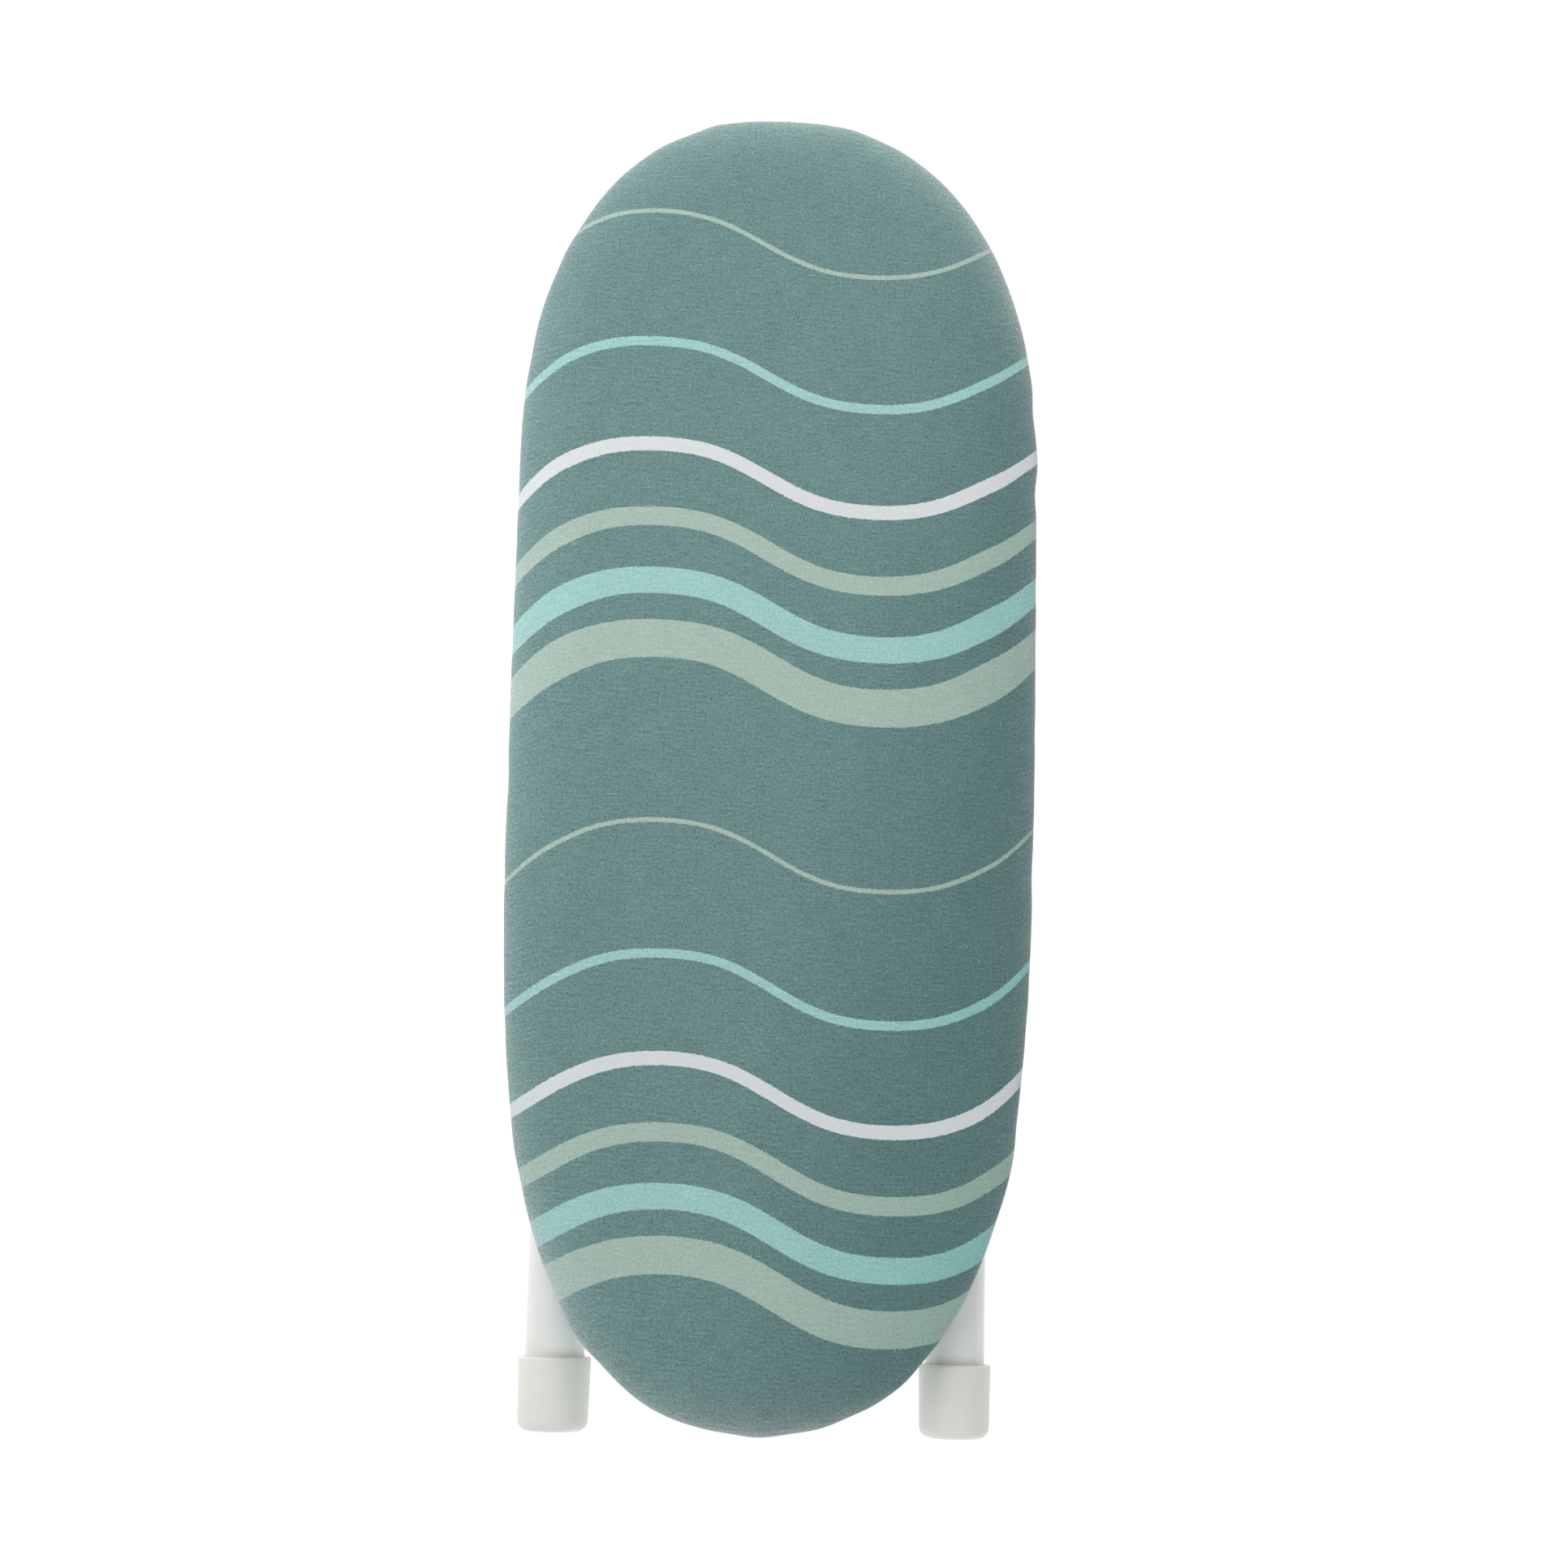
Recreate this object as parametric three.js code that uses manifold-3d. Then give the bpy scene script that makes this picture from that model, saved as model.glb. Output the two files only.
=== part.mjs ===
// Tabletop ironing board, lying cover up with both leg frames folded flat under it.
// Millimetres. +X right, +Y towards the round tail, -Y towards the drawn-out nose, +Z up out of the
// ironing face. The origin is under the middle of the board, on the surface that it lies on.
import * as THREE from 'three';
import { mergeVertices } from 'three/addons/utils/BufferGeometryUtils.js';
import Module from 'manifold-3d';

const wasm = await Module();
wasm.setup();

// Board outline: two half ovals that meet at the widest line, each |x/half width|^m + |y/reach|^n = 1
const boardLength = 730;
const boardWidth = 290;
const tailReach = 203;
const tailEnd = { reach: tailReach, widthPower: 2.32, reachPower: 2.22 };
const noseEnd = { reach: boardLength - tailReach, widthPower: 2.22, reachPower: 5.4 };
const edgeStations = 64;

// Clearances
const seatGap = 0.3;
const turningClearance = 0.3;
const cutOverrun = 2;

// Leg frames
const tubeDiameter = 32;
const tubeWall = 1.2;
const legSpacing = 216;
const legReach = 200;
const bendRadius = 40;
const bendSteps = 6;
const tubeSides = 16;
const openAngle = 96;
const tailPivotInset = 137;
const footOverhang = 4.5;

// Foot caps
const footDiameter = 39;
const footLength = 39;
const footFloor = 4;
const footEdgeRadius = 6;
const footTaper = 0.6;
const footLip = 1.3;
const footSides = 20;

// Saddles and keepers, the two halves of each bearing
const saddleLength = 22;
const saddleSpacing = 88;
const saddleWidth = 58;
const saddleRoof = 6.2;
const saddleShoulder = 5;
const keeperEar = 8.5;
const keeperFootWidth = 22;
const keeperWall = 3.2;
const channelSides = 24;

// Saddle screws
const screwDiameter = 5;
const screwHeadDiameter = 9.6;
const screwHeadHeight = 3.2;
const screwTipLength = 4;
const screwSpacing = 45.6;
const screwSides = 12;
const screwClearance = 0.3;

// Stop collars
const collarLength = 12;
const collarWall = 2.4;
const collarEndPlay = 0.4;
const lugThickness = 4;
const lugRestDrop = 40;

// Cross rails and spine rail, folded from sheet
const railSheet = 1.2;
const railDepth = 8;
const railCrown = 60;
const railFlange = 10;
const railEndInset = 18;
const spineCrown = 26;
const spineDepth = 6;
const spineFlange = 9;

// Rim channel and deck sheet
const rimSheet = 1;
const rimHeight = 9;
const rimFlange = 12;
const rimBend = 3;
const deckSheet = 0.8;
const deckHoleDiameter = 15;
const deckHolePitch = 42;
const deckHoleMargin = 33;
const deckHoleSides = 8;

// Pad and cover
const padThickness = 8.4;
const padCrownRun = 48;
const padCrownPower = 3.2;
const padCrownShares = [1, 0.5, 0.22, 0.06, 0];
const coverThickness = 1.2;
const hemWidth = 26;
const turnSteps = 2;

// Heights, worked up from the surface that the folded board lies on
const tubeRadius = tubeDiameter / 2;
const footRadius = footDiameter / 2;
const channelRadius = tubeRadius + turningClearance;
const axisHeight = channelRadius + keeperWall;
const saddleTop = axisHeight + channelRadius + saddleRoof;
const railBottom = saddleTop + seatGap;
const railTop = railBottom + railDepth;
const deckBottom = railTop + seatGap;
const deckTop = deckBottom + deckSheet;
const rimTop = deckBottom - seatGap;
const rimBottom = rimTop - rimHeight;
const padBottom = deckTop + seatGap;
const coverBottom = rimBottom - seatGap - coverThickness;

// Places along the board
const halfLength = (boardLength + footOverhang) / 2;
const tailTipY = halfLength;
const feetY = -halfLength;
const widestY = tailTipY - tailReach;
const nosePivotY = feetY + legReach;
const tailPivotY = tailTipY - tailPivotInset;
const rimInset = coverThickness + seatGap;

// Colours and finishes
const finishes = {
  cover: { color: 0x6f8f8c, roughness: 0.92, metalness: 0 },
  pad: { color: 0xe9e4d6, roughness: 0.95, metalness: 0 },
  sheetSteel: { color: 0xb9bdbd, roughness: 0.45, metalness: 0.8 },
  powderCoat: { color: 0xe6e8e5, roughness: 0.38, metalness: 0.1 },
  capPlastic: { color: 0xd2cfc4, roughness: 0.5, metalness: 0 },
  bearingPlastic: { color: 0xb4b8b5, roughness: 0.55, metalness: 0 },
  screwSteel: { color: 0xc7c9ca, roughness: 0.3, metalness: 0.9 },
};

const board = new THREE.Group();

function addPart(parent, name, geometry, finish) {
  const mesh = new THREE.Mesh(geometry, new THREE.MeshStandardMaterial(finishes[finish]));
  mesh.name = name;
  parent.add(mesh);
  return mesh;
}

// Edge of the covered board as a closed curve, tail tip first, anticlockwise seen from above
class BoardEdge extends THREE.Curve {
  getPoint(t, target = new THREE.Vector3()) {
    const turn = 2 * Math.PI * t;
    const along = Math.cos(turn);
    const end = along >= 0 ? tailEnd : noseEnd;
    const widthShare = Math.max(0, 1 - Math.abs(along) ** end.reachPower) ** (1 / end.widthPower);
    const side = -Math.sign(Math.sin(turn));
    return target.set(side * widthShare * boardWidth / 2, widestY + end.reach * along, 0);
  }
}

// Outward direction of the edge, from the slope of the oval's formula
function edgeNormal(point) {
  const y = point.y - widestY;
  const end = y >= 0 ? tailEnd : noseEnd;
  const across = Math.abs(point.x) / (boardWidth / 2);
  const along = Math.abs(y) / end.reach;
  return new THREE.Vector3(
    Math.sign(point.x) * end.widthPower * across ** (end.widthPower - 1) / (boardWidth / 2),
    Math.sign(y) * end.reachPower * along ** (end.reachPower - 1) / end.reach,
    0,
  ).normalize();
}

const boardEdge = new BoardEdge();
boardEdge.arcLengthDivisions = 60 * edgeStations;
const edgePoints = boardEdge.getSpacedPoints(edgeStations).slice(0, -1);
const edgeNormals = edgePoints.map(edgeNormal);

// The board's edge moved inwards by an inset, at one height
function edgeRing(inset, height) {
  return edgePoints.map((point, i) => {
    return point.clone().addScaledVector(edgeNormals[i], -inset).setZ(height);
  });
}

function halfWidthAt(y) {
  const end = y >= widestY ? tailEnd : noseEnd;
  const along = Math.min(1, Math.abs(y - widestY) / end.reach);
  return boardWidth / 2 * (1 - along ** end.reachPower) ** (1 / end.widthPower);
}

// Six times the volume that a mesh encloses, positive where its faces point out
function enclosedVolume(geometry) {
  const corner = [new THREE.Vector3(), new THREE.Vector3(), new THREE.Vector3()];
  const place = geometry.getAttribute('position');
  const order = geometry.getIndex();
  let volume = 0;
  for (let i = 0; i < order.count; i += 3) {
    corner.forEach((point, k) => point.fromBufferAttribute(place, order.getX(i + k)));
    volume += corner[0].dot(corner[1].clone().cross(corner[2]));
  }
  return volume;
}

function facingOut(geometry) {
  if (enclosedVolume(geometry) < 0) {
    const order = geometry.getIndex().array;
    for (let i = 0; i < order.length; i += 3) {
      [order[i + 1], order[i + 2]] = [order[i + 2], order[i + 1]];
    }
  }
  return geometry;
}

// Skin through a row of rings. A looped row closes on itself; another is capped at its two ends.
function loft(rings, looped = false) {
  const count = rings[0].length;
  const bands = looped ? rings.length : rings.length - 1;
  const faces = [];
  for (let band = 0; band < bands; band += 1) {
    const low = band * count;
    const high = ((band + 1) % rings.length) * count;
    for (let i = 0; i < count; i += 1) {
      const next = (i + 1) % count;
      faces.push(low + i, low + next, high + next, low + i, high + next, high + i);
    }
  }
  if (!looped) {
    const outline = rings[0].map((point) => new THREE.Vector2(point.x, point.y));
    for (const [a, b, c] of THREE.ShapeUtils.triangulateShape(outline, [])) {
      faces.push(c, b, a);
    }
    const last = (rings.length - 1) * count;
    const topRing = rings[rings.length - 1];
    const topOutline = topRing.map((point) => new THREE.Vector2(point.x, point.y));
    for (const [a, b, c] of THREE.ShapeUtils.triangulateShape(topOutline, [])) {
      faces.push(last + a, last + b, last + c);
    }
  }
  const geometry = new THREE.BufferGeometry();
  const places = rings.flat().flatMap((point) => [point.x, point.y, point.z]);
  geometry.setAttribute('position', new THREE.Float32BufferAttribute(places, 3));
  geometry.setIndex(faces);
  return facingOut(geometry);
}

function closedMesh(geometry) {
  const bare = geometry.clone();
  bare.deleteAttribute('normal');
  bare.deleteAttribute('uv');
  return mergeVertices(bare);
}

function toSolid(geometry) {
  const merged = closedMesh(geometry);
  return new wasm.Manifold(new wasm.Mesh({
    numProp: 3,
    vertProperties: new Float32Array(merged.getAttribute('position').array),
    triVerts: new Uint32Array(merged.getIndex().array),
  }));
}

function fromSolid(solid) {
  const mesh = solid.getMesh();
  const geometry = new THREE.BufferGeometry();
  const places = new Float32Array(mesh.vertProperties);
  geometry.setAttribute('position', new THREE.BufferAttribute(places, 3));
  geometry.setIndex(new THREE.BufferAttribute(new Uint32Array(mesh.triVerts), 1));
  return geometry;
}

function cutFrom(geometry, cutters) {
  let left = toSolid(geometry);
  for (const cutter of cutters) {
    left = left.subtract(toSolid(cutter));
  }
  return fromSolid(left);
}

function joined(geometries) {
  const [first, ...others] = geometries;
  let whole = toSolid(first);
  for (const other of others) {
    whole = whole.add(toSolid(other));
  }
  return fromSolid(whole);
}

// Radius of a polygon whose flats, not its corners, lie on the wanted circle
function roundOutside(radius, sides) {
  return radius / Math.cos(Math.PI / sides);
}

// A profile drawn in Y and Z, run along X about the middle
function extrudedAcross(profile, length, curveSegments = channelSides / 2) {
  const settings = { depth: length, bevelEnabled: false, curveSegments };
  const geometry = new THREE.ExtrudeGeometry(profile, settings);
  geometry.translate(0, 0, -length / 2);
  geometry.applyMatrix4(new THREE.Matrix4().set(0, 0, 1, 0, 1, 0, 0, 0, 0, 1, 0, 0, 0, 0, 0, 1));
  return closedMesh(geometry);
}

function shapeFrom(corners) {
  return new THREE.Shape(corners.map(([x, y]) => new THREE.Vector2(x, y)));
}

function uprightCylinder(diameter, bottom, top, x, y, sides) {
  const geometry = new THREE.CylinderGeometry(diameter / 2, diameter / 2, top - bottom, sides);
  geometry.rotateX(Math.PI / 2);
  geometry.translate(x, y, (top + bottom) / 2);
  return geometry;
}

// Section of a rail folded from sheet like a hat: crown down, flanges up against the deck
function hatSection(crown, depth, flange, sheet, bottom) {
  const half = crown / 2;
  const top = bottom + depth;
  return shapeFrom([
    [-half, bottom], [half, bottom], [half, top - sheet], [half + flange, top - sheet],
    [half + flange, top], [half - sheet, top], [half - sheet, bottom + sheet],
    [-half + sheet, bottom + sheet], [-half + sheet, top],
    [-half - flange, top], [-half - flange, top - sheet], [-half, top - sheet],
  ]);
}

// Padded edge: from the flat top it falls slowly in a crown, then rolls tightly down to the side
function crownRing(outermost, run, rise, share) {
  const height = padBottom + rise * Math.sqrt(1 - (1 - share) ** padCrownPower);
  return edgeRing(outermost + run * share, height);
}

// Cover: top face, padded edge, turn under the rim and the hem, all one skin with an open underside
function coverRing(thickness, share) {
  const run = padCrownRun + seatGap + thickness;
  const rise = padThickness + seatGap + thickness;
  return crownRing(coverThickness - thickness, run, rise, share);
}

function hemRing(radius, angle) {
  const centreInset = rimInset - seatGap + rimBend;
  const centreHeight = rimBottom - seatGap + rimBend;
  return edgeRing(centreInset - radius * Math.cos(angle), centreHeight - radius * Math.sin(angle));
}

function coverGeometry() {
  const inside = [];
  const outside = [];
  for (const share of padCrownShares) {
    inside.push(coverRing(0, share));
    outside.unshift(coverRing(coverThickness, share));
  }
  for (let step = 0; step <= turnSteps; step += 1) {
    const angle = step / turnSteps * Math.PI / 2;
    inside.push(hemRing(rimBend, angle));
    outside.unshift(hemRing(rimBend + coverThickness, angle));
  }
  inside.push(edgeRing(hemWidth, coverBottom + coverThickness));
  outside.unshift(edgeRing(hemWidth, coverBottom));
  return loft([...inside, ...outside]);
}

// Foam pad, crowned by the pull of the cover
function padGeometry() {
  const rings = padCrownShares.map((share) => {
    return crownRing(rimInset, padCrownRun, padThickness, share);
  });
  return loft(rings.reverse());
}

// Deck: sheet steel punched with staggered rows of steam holes
function deckGeometry() {
  const outline = shapeFrom(edgeRing(rimInset, deckBottom).map((point) => [point.x, point.y]));
  const rowPitch = deckHolePitch * Math.sqrt(3) / 2;
  const rows = Math.floor((boardLength / 2 - deckHoleMargin) / rowPitch);
  for (let row = -rows; row <= rows; row += 1) {
    const y = row * rowPitch;
    const reach = halfWidthAt(y) - deckHoleMargin;
    const start = row % 2 === 0 ? 0 : deckHolePitch / 2;
    const first = start - deckHolePitch * Math.floor((reach + start) / deckHolePitch);
    for (let x = first; x <= reach; x += deckHolePitch) {
      const hole = new THREE.Path();
      hole.absarc(x, y, deckHoleDiameter / 2, 0, 2 * Math.PI, true);
      outline.holes.push(hole);
    }
  }
  const settings = { depth: deckSheet, bevelEnabled: false, curveSegments: deckHoleSides / 2 };
  const geometry = new THREE.ExtrudeGeometry(outline, settings);
  geometry.translate(0, 0, deckBottom);
  return closedMesh(geometry);
}

// One side of the rim channel's sheet, from its lower lip round two bends to its upper lip
function rimSide(bend) {
  const lip = rimInset + rimFlange;
  const centreInset = rimInset + rimBend;
  const rings = [edgeRing(lip, rimBottom + rimBend - bend)];
  for (const [centre, sign] of [[rimBottom + rimBend, -1], [rimTop - rimBend, 1]]) {
    for (let step = 0; step <= turnSteps; step += 1) {
      const share = sign < 0 ? 1 - step / turnSteps : step / turnSteps;
      const angle = share * Math.PI / 2;
      const inset = centreInset - bend * Math.cos(angle);
      rings.push(edgeRing(inset, centre + sign * bend * Math.sin(angle)));
    }
  }
  rings.push(edgeRing(lip, rimTop - rimBend + bend));
  return rings;
}

// Rim: a steel channel bent round the board, open towards the middle
function rimGeometry() {
  return loft([...rimSide(rimBend), ...rimSide(rimBend - rimSheet).reverse()], true);
}

// Places of the two screws and two saddles on a cross rail, about its pivot line
const saddleSides = { left: -saddleSpacing / 2, right: saddleSpacing / 2 };
const screwPlaces = { front: -screwSpacing / 2, back: screwSpacing / 2 };

function screwBores(bottom, top, x) {
  const diameter = screwDiameter + 2 * screwClearance;
  return Object.values(screwPlaces).map((y) => {
    return uprightCylinder(diameter, bottom - cutOverrun, top + cutOverrun, x, y, screwSides);
  });
}

function crossRailGeometry(pivotY) {
  const farEdge = railCrown / 2 + railFlange;
  const narrowest = Math.min(halfWidthAt(pivotY - farEdge), halfWidthAt(pivotY + farEdge));
  const length = 2 * (narrowest - railEndInset);
  const section = hatSection(railCrown, railDepth, railFlange, railSheet, railBottom);
  const rail = extrudedAcross(section, length);
  const bores = [];
  for (const x of Object.values(saddleSides)) {
    bores.push(...screwBores(railBottom, railBottom + railSheet, x));
  }
  const drilled = cutFrom(rail, bores);
  drilled.translate(0, pivotY, 0);
  return drilled;
}

// Spine rail between the two cross rails, down the middle of the deck
function spineRailGeometry() {
  const farEdge = railCrown / 2 + railFlange + seatGap;
  const start = nosePivotY + farEdge;
  const end = tailPivotY - farEdge;
  const profile = hatSection(spineCrown, spineDepth, spineFlange, railSheet, railTop - spineDepth);
  const geometry = new THREE.ExtrudeGeometry(profile, { depth: end - start, bevelEnabled: false });
  geometry.rotateX(Math.PI / 2);
  geometry.translate(0, end, 0);
  return closedMesh(geometry);
}

// Saddle: upper half of the bearing, with a half-round channel for the crossbar
function saddleGeometry() {
  const half = saddleWidth / 2;
  const split = axisHeight + seatGap / 2;
  const radius = roundOutside(channelRadius, channelSides);
  const profile = new THREE.Shape();
  profile.moveTo(-half, split);
  profile.lineTo(-radius, split);
  profile.absarc(0, split, radius, Math.PI, 0, true);
  profile.lineTo(half, split);
  profile.lineTo(half, saddleTop - saddleShoulder);
  profile.lineTo(half - saddleShoulder, saddleTop);
  profile.lineTo(-half + saddleShoulder, saddleTop);
  profile.lineTo(-half, saddleTop - saddleShoulder);
  return cutFrom(extrudedAcross(profile, saddleLength), screwBores(split, saddleTop, 0));
}

// Keeper: lower half, with an ear on each side and a flat foot that the folded board lies on
function keeperGeometry() {
  const half = saddleWidth / 2;
  const split = axisHeight - seatGap / 2;
  const radius = roundOutside(channelRadius, channelSides);
  const earBottom = split - keeperEar;
  const earInside = (screwSpacing - screwHeadDiameter) / 2 - seatGap;
  const profile = new THREE.Shape();
  profile.moveTo(half, split);
  profile.lineTo(radius, split);
  profile.absarc(0, split, radius, 0, -Math.PI, true);
  profile.lineTo(-half, split);
  profile.lineTo(-half, earBottom);
  profile.lineTo(-earInside, earBottom);
  profile.lineTo(-keeperFootWidth / 2, 0);
  profile.lineTo(keeperFootWidth / 2, 0);
  profile.lineTo(earInside, earBottom);
  profile.lineTo(half, earBottom);
  return cutFrom(extrudedAcross(profile, saddleLength), screwBores(earBottom, split, 0));
}

// Screw, head down, from under the keeper's ear into the rail
function screwGeometry() {
  const seat = axisHeight - seatGap / 2 - keeperEar - seatGap;
  const head = screwHeadDiameter / 2;
  const shank = screwDiameter / 2;
  const tip = railBottom + railSheet + screwTipLength;
  const headBottom = seat - screwHeadHeight;
  const profile = [
    [0, headBottom], [head - screwHeadHeight / 2, headBottom], [head, seat - screwHeadHeight / 2],
    [head, seat], [shank, seat], [shank, tip - shank], [shank / 2, tip], [0, tip],
  ];
  const outline = profile.map(([r, z]) => new THREE.Vector2(r, z));
  const geometry = new THREE.LatheGeometry(outline, screwSides);
  geometry.rotateX(Math.PI / 2);
  return facingOut(closedMesh(geometry));
}

// Stations along the centre line of the U-bent tube, with the sideways direction at each
function legStations() {
  const half = legSpacing / 2;
  const tubeEnd = -(legReach - footFloor - seatGap);
  const stations = [{ x: -half, y: tubeEnd, turn: 0 }];
  for (const side of [-1, 1]) {
    for (let step = 0; step <= bendSteps; step += 1) {
      const share = side < 0 ? step / bendSteps : 1 - step / bendSteps;
      const angle = share * Math.PI / 2;
      stations.push({
        x: side * (half - bendRadius + bendRadius * Math.cos(angle)),
        y: -bendRadius + bendRadius * Math.sin(angle),
        turn: side < 0 ? angle : Math.PI - angle,
      });
    }
  }
  stations.push({ x: half, y: tubeEnd, turn: Math.PI });
  return stations;
}

function tubeRing(station, radius) {
  const ring = [];
  for (let side = 0; side < tubeSides; side += 1) {
    const angle = 2 * Math.PI * side / tubeSides;
    const out = radius * Math.cos(angle);
    ring.push(new THREE.Vector3(
      station.x - out * Math.cos(station.turn),
      station.y + out * Math.sin(station.turn),
      radius * Math.sin(angle),
    ));
  }
  return ring;
}

// Leg frame: one hollow tube bent to a U, both ends open
function legFrameGeometry() {
  const stations = legStations();
  const outside = stations.map((station) => tubeRing(station, tubeRadius));
  const inside = stations.map((station) => tubeRing(station, tubeRadius - tubeWall)).reverse();
  return loft([...outside, ...inside], true);
}

// Foot cap: moulded cup over the tube's end, a little narrower at its floor, with a rolled lip
function footCapGeometry() {
  const mouth = roundOutside(tubeRadius + seatGap, footSides);
  const flatRadius = footRadius - footTaper - footEdgeRadius;
  const profile = [new THREE.Vector2(0, 0), new THREE.Vector2(flatRadius, 0)];
  for (const share of [1 / 3, 2 / 3, 1]) {
    const angle = share * Math.PI / 2;
    profile.push(new THREE.Vector2(
      flatRadius + footEdgeRadius * Math.sin(angle),
      footEdgeRadius * (1 - Math.cos(angle)),
    ));
  }
  profile.push(new THREE.Vector2(footRadius, footLength - footLip));
  profile.push(new THREE.Vector2(footRadius - footLip / 2, footLength - footLip / 3));
  profile.push(new THREE.Vector2(footRadius - footLip, footLength));
  profile.push(new THREE.Vector2(mouth, footLength));
  profile.push(new THREE.Vector2(mouth, footFloor));
  profile.push(new THREE.Vector2(0, footFloor));
  return facingOut(closedMesh(new THREE.LatheGeometry(profile, footSides)));
}

// Stop collar: ring fixed on the crossbar beside a saddle, with a lug that meets the rail when open
function collarGeometry() {
  const outer = new THREE.Shape();
  outer.absarc(0, 0, channelRadius + collarWall, 0, 2 * Math.PI, false);
  const ring = extrudedAcross(outer, collarLength, channelSides);
  const rise = railBottom - axisHeight - seatGap;
  const liftAngle = THREE.MathUtils.degToRad(openAngle - lugRestDrop);
  const lugReach = (rise - lugThickness / 2 * Math.cos(liftAngle)) / Math.sin(liftAngle);
  const lug = new THREE.BoxGeometry(collarLength, lugReach, lugThickness);
  lug.translate(0, lugReach / 2, 0);
  lug.rotateX(-THREE.MathUtils.degToRad(lugRestDrop));
  const bore = new THREE.CylinderGeometry(
    roundOutside(channelRadius, channelSides), roundOutside(channelRadius, channelSides),
    collarLength + 2 * cutOverrun, channelSides,
  );
  bore.rotateZ(Math.PI / 2);
  return cutFrom(joined([ring, lug]), [bore]);
}

// One leg frame with its foot caps and stop collars, turning about its crossbar
function addLegs(name, pivotY) {
  const legs = new THREE.Group();
  legs.position.set(0, pivotY, axisHeight);
  board.add(legs);
  addPart(legs, `${name}_leg_frame`, legFrameGeometry(), 'powderCoat');
  const collarPlace = (saddleSpacing - saddleLength - collarLength) / 2 - collarEndPlay;
  for (const [side, sign] of [['left', -1], ['right', 1]]) {
    const cap = addPart(legs, `${name}_foot_cap_${side}`, footCapGeometry(), 'capPlastic');
    cap.position.set(sign * legSpacing / 2, -legReach, 0);
    const collar = addPart(legs, `${name}_stop_collar_${side}`, collarGeometry(), 'sheetSteel');
    collar.position.set(sign * collarPlace, 0, 0);
  }
}

// The fixed half of one pivot line: rail, two saddles, two keepers and their four screws
function addPivotLine(name, pivotY) {
  addPart(board, `${name}_cross_rail`, crossRailGeometry(pivotY), 'sheetSteel');
  for (const [side, x] of Object.entries(saddleSides)) {
    const saddle = addPart(board, `${name}_saddle_${side}`, saddleGeometry(), 'bearingPlastic');
    saddle.position.set(x, pivotY, 0);
    const keeper = addPart(board, `${name}_keeper_${side}`, keeperGeometry(), 'bearingPlastic');
    keeper.position.set(x, pivotY, 0);
    for (const [end, y] of Object.entries(screwPlaces)) {
      const screw = addPart(board, `${name}_screw_${side}_${end}`, screwGeometry(), 'screwSteel');
      screw.position.set(x, pivotY + y, 0);
    }
  }
}

addPart(board, 'fabric_cover', coverGeometry(), 'cover');
addPart(board, 'foam_pad', padGeometry(), 'pad');
addPart(board, 'deck_sheet', deckGeometry(), 'sheetSteel');
addPart(board, 'rim_channel', rimGeometry(), 'sheetSteel');
addPart(board, 'spine_rail', spineRailGeometry(), 'sheetSteel');
for (const [name, pivotY] of [['nose', nosePivotY], ['tail', tailPivotY]]) {
  addPivotLine(name, pivotY);
  addLegs(name, pivotY);
}

export default board;
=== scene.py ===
import math

import bpy
import numpy as np
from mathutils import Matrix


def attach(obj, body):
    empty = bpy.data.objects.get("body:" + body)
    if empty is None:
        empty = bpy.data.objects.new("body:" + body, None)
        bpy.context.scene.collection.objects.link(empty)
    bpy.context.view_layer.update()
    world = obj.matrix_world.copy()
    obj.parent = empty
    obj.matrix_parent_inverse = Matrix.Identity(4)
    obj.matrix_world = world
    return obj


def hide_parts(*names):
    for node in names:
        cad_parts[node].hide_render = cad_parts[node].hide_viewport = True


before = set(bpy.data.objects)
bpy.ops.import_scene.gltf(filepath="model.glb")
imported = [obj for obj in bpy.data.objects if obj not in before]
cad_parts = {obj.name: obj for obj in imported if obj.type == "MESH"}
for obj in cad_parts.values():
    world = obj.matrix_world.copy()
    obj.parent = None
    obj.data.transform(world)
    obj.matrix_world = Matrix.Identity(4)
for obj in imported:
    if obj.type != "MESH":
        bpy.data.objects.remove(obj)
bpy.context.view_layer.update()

# --------------------------------------------
# Camera. It stands over the nose end and looks almost straight down, a little from the left,
# so the board lies upright in the picture with its nose at the bottom.
bpy.ops.object.camera_add(
    location=(-0.08076, -0.26032, 1.45095),
    rotation=[math.radians(a) for a in (9.722, -3.778, 1.296)],
)
camera = bpy.context.object
camera.name = "overhead_camera"
camera.data.sensor_width = 36.0
camera.data.lens = 59.63
camera.data.clip_start = 0.05
camera.data.clip_end = 100.0
bpy.context.scene.camera = camera

# --------------------------------------------
# Fabric cover. A printed plain-weave cotton sheet drawn over the pad, round the steel rim and
# under it, where a cord in the rolled hem gathers it. It is cut as one large flat oval, and
# every point remembers its place on that cut, so the stripes and the threads follow the cloth.
half_width = 0.145
widest_y = 0.16425
tail_oval = {"reach": 0.203, "width_power": 2.32, "reach_power": 2.22}
nose_oval = {"reach": 0.527, "width_power": 2.22, "reach_power": 5.4}
cover_stations = 480


def oval_point(turn):
    """A point of the board's edge for each angle: two half ovals that meet at the widest line."""
    along = np.cos(turn)
    tail = along >= 0
    reach = np.where(tail, tail_oval["reach"], nose_oval["reach"])
    width_power = np.where(tail, tail_oval["width_power"], nose_oval["width_power"])
    reach_power = np.where(tail, tail_oval["reach_power"], nose_oval["reach_power"])
    share = np.clip(1 - np.abs(along) ** reach_power, 0, 1) ** (1 / width_power)
    return np.stack([-np.sign(np.sin(turn)) * share * half_width, widest_y + reach * along], 1)


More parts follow.
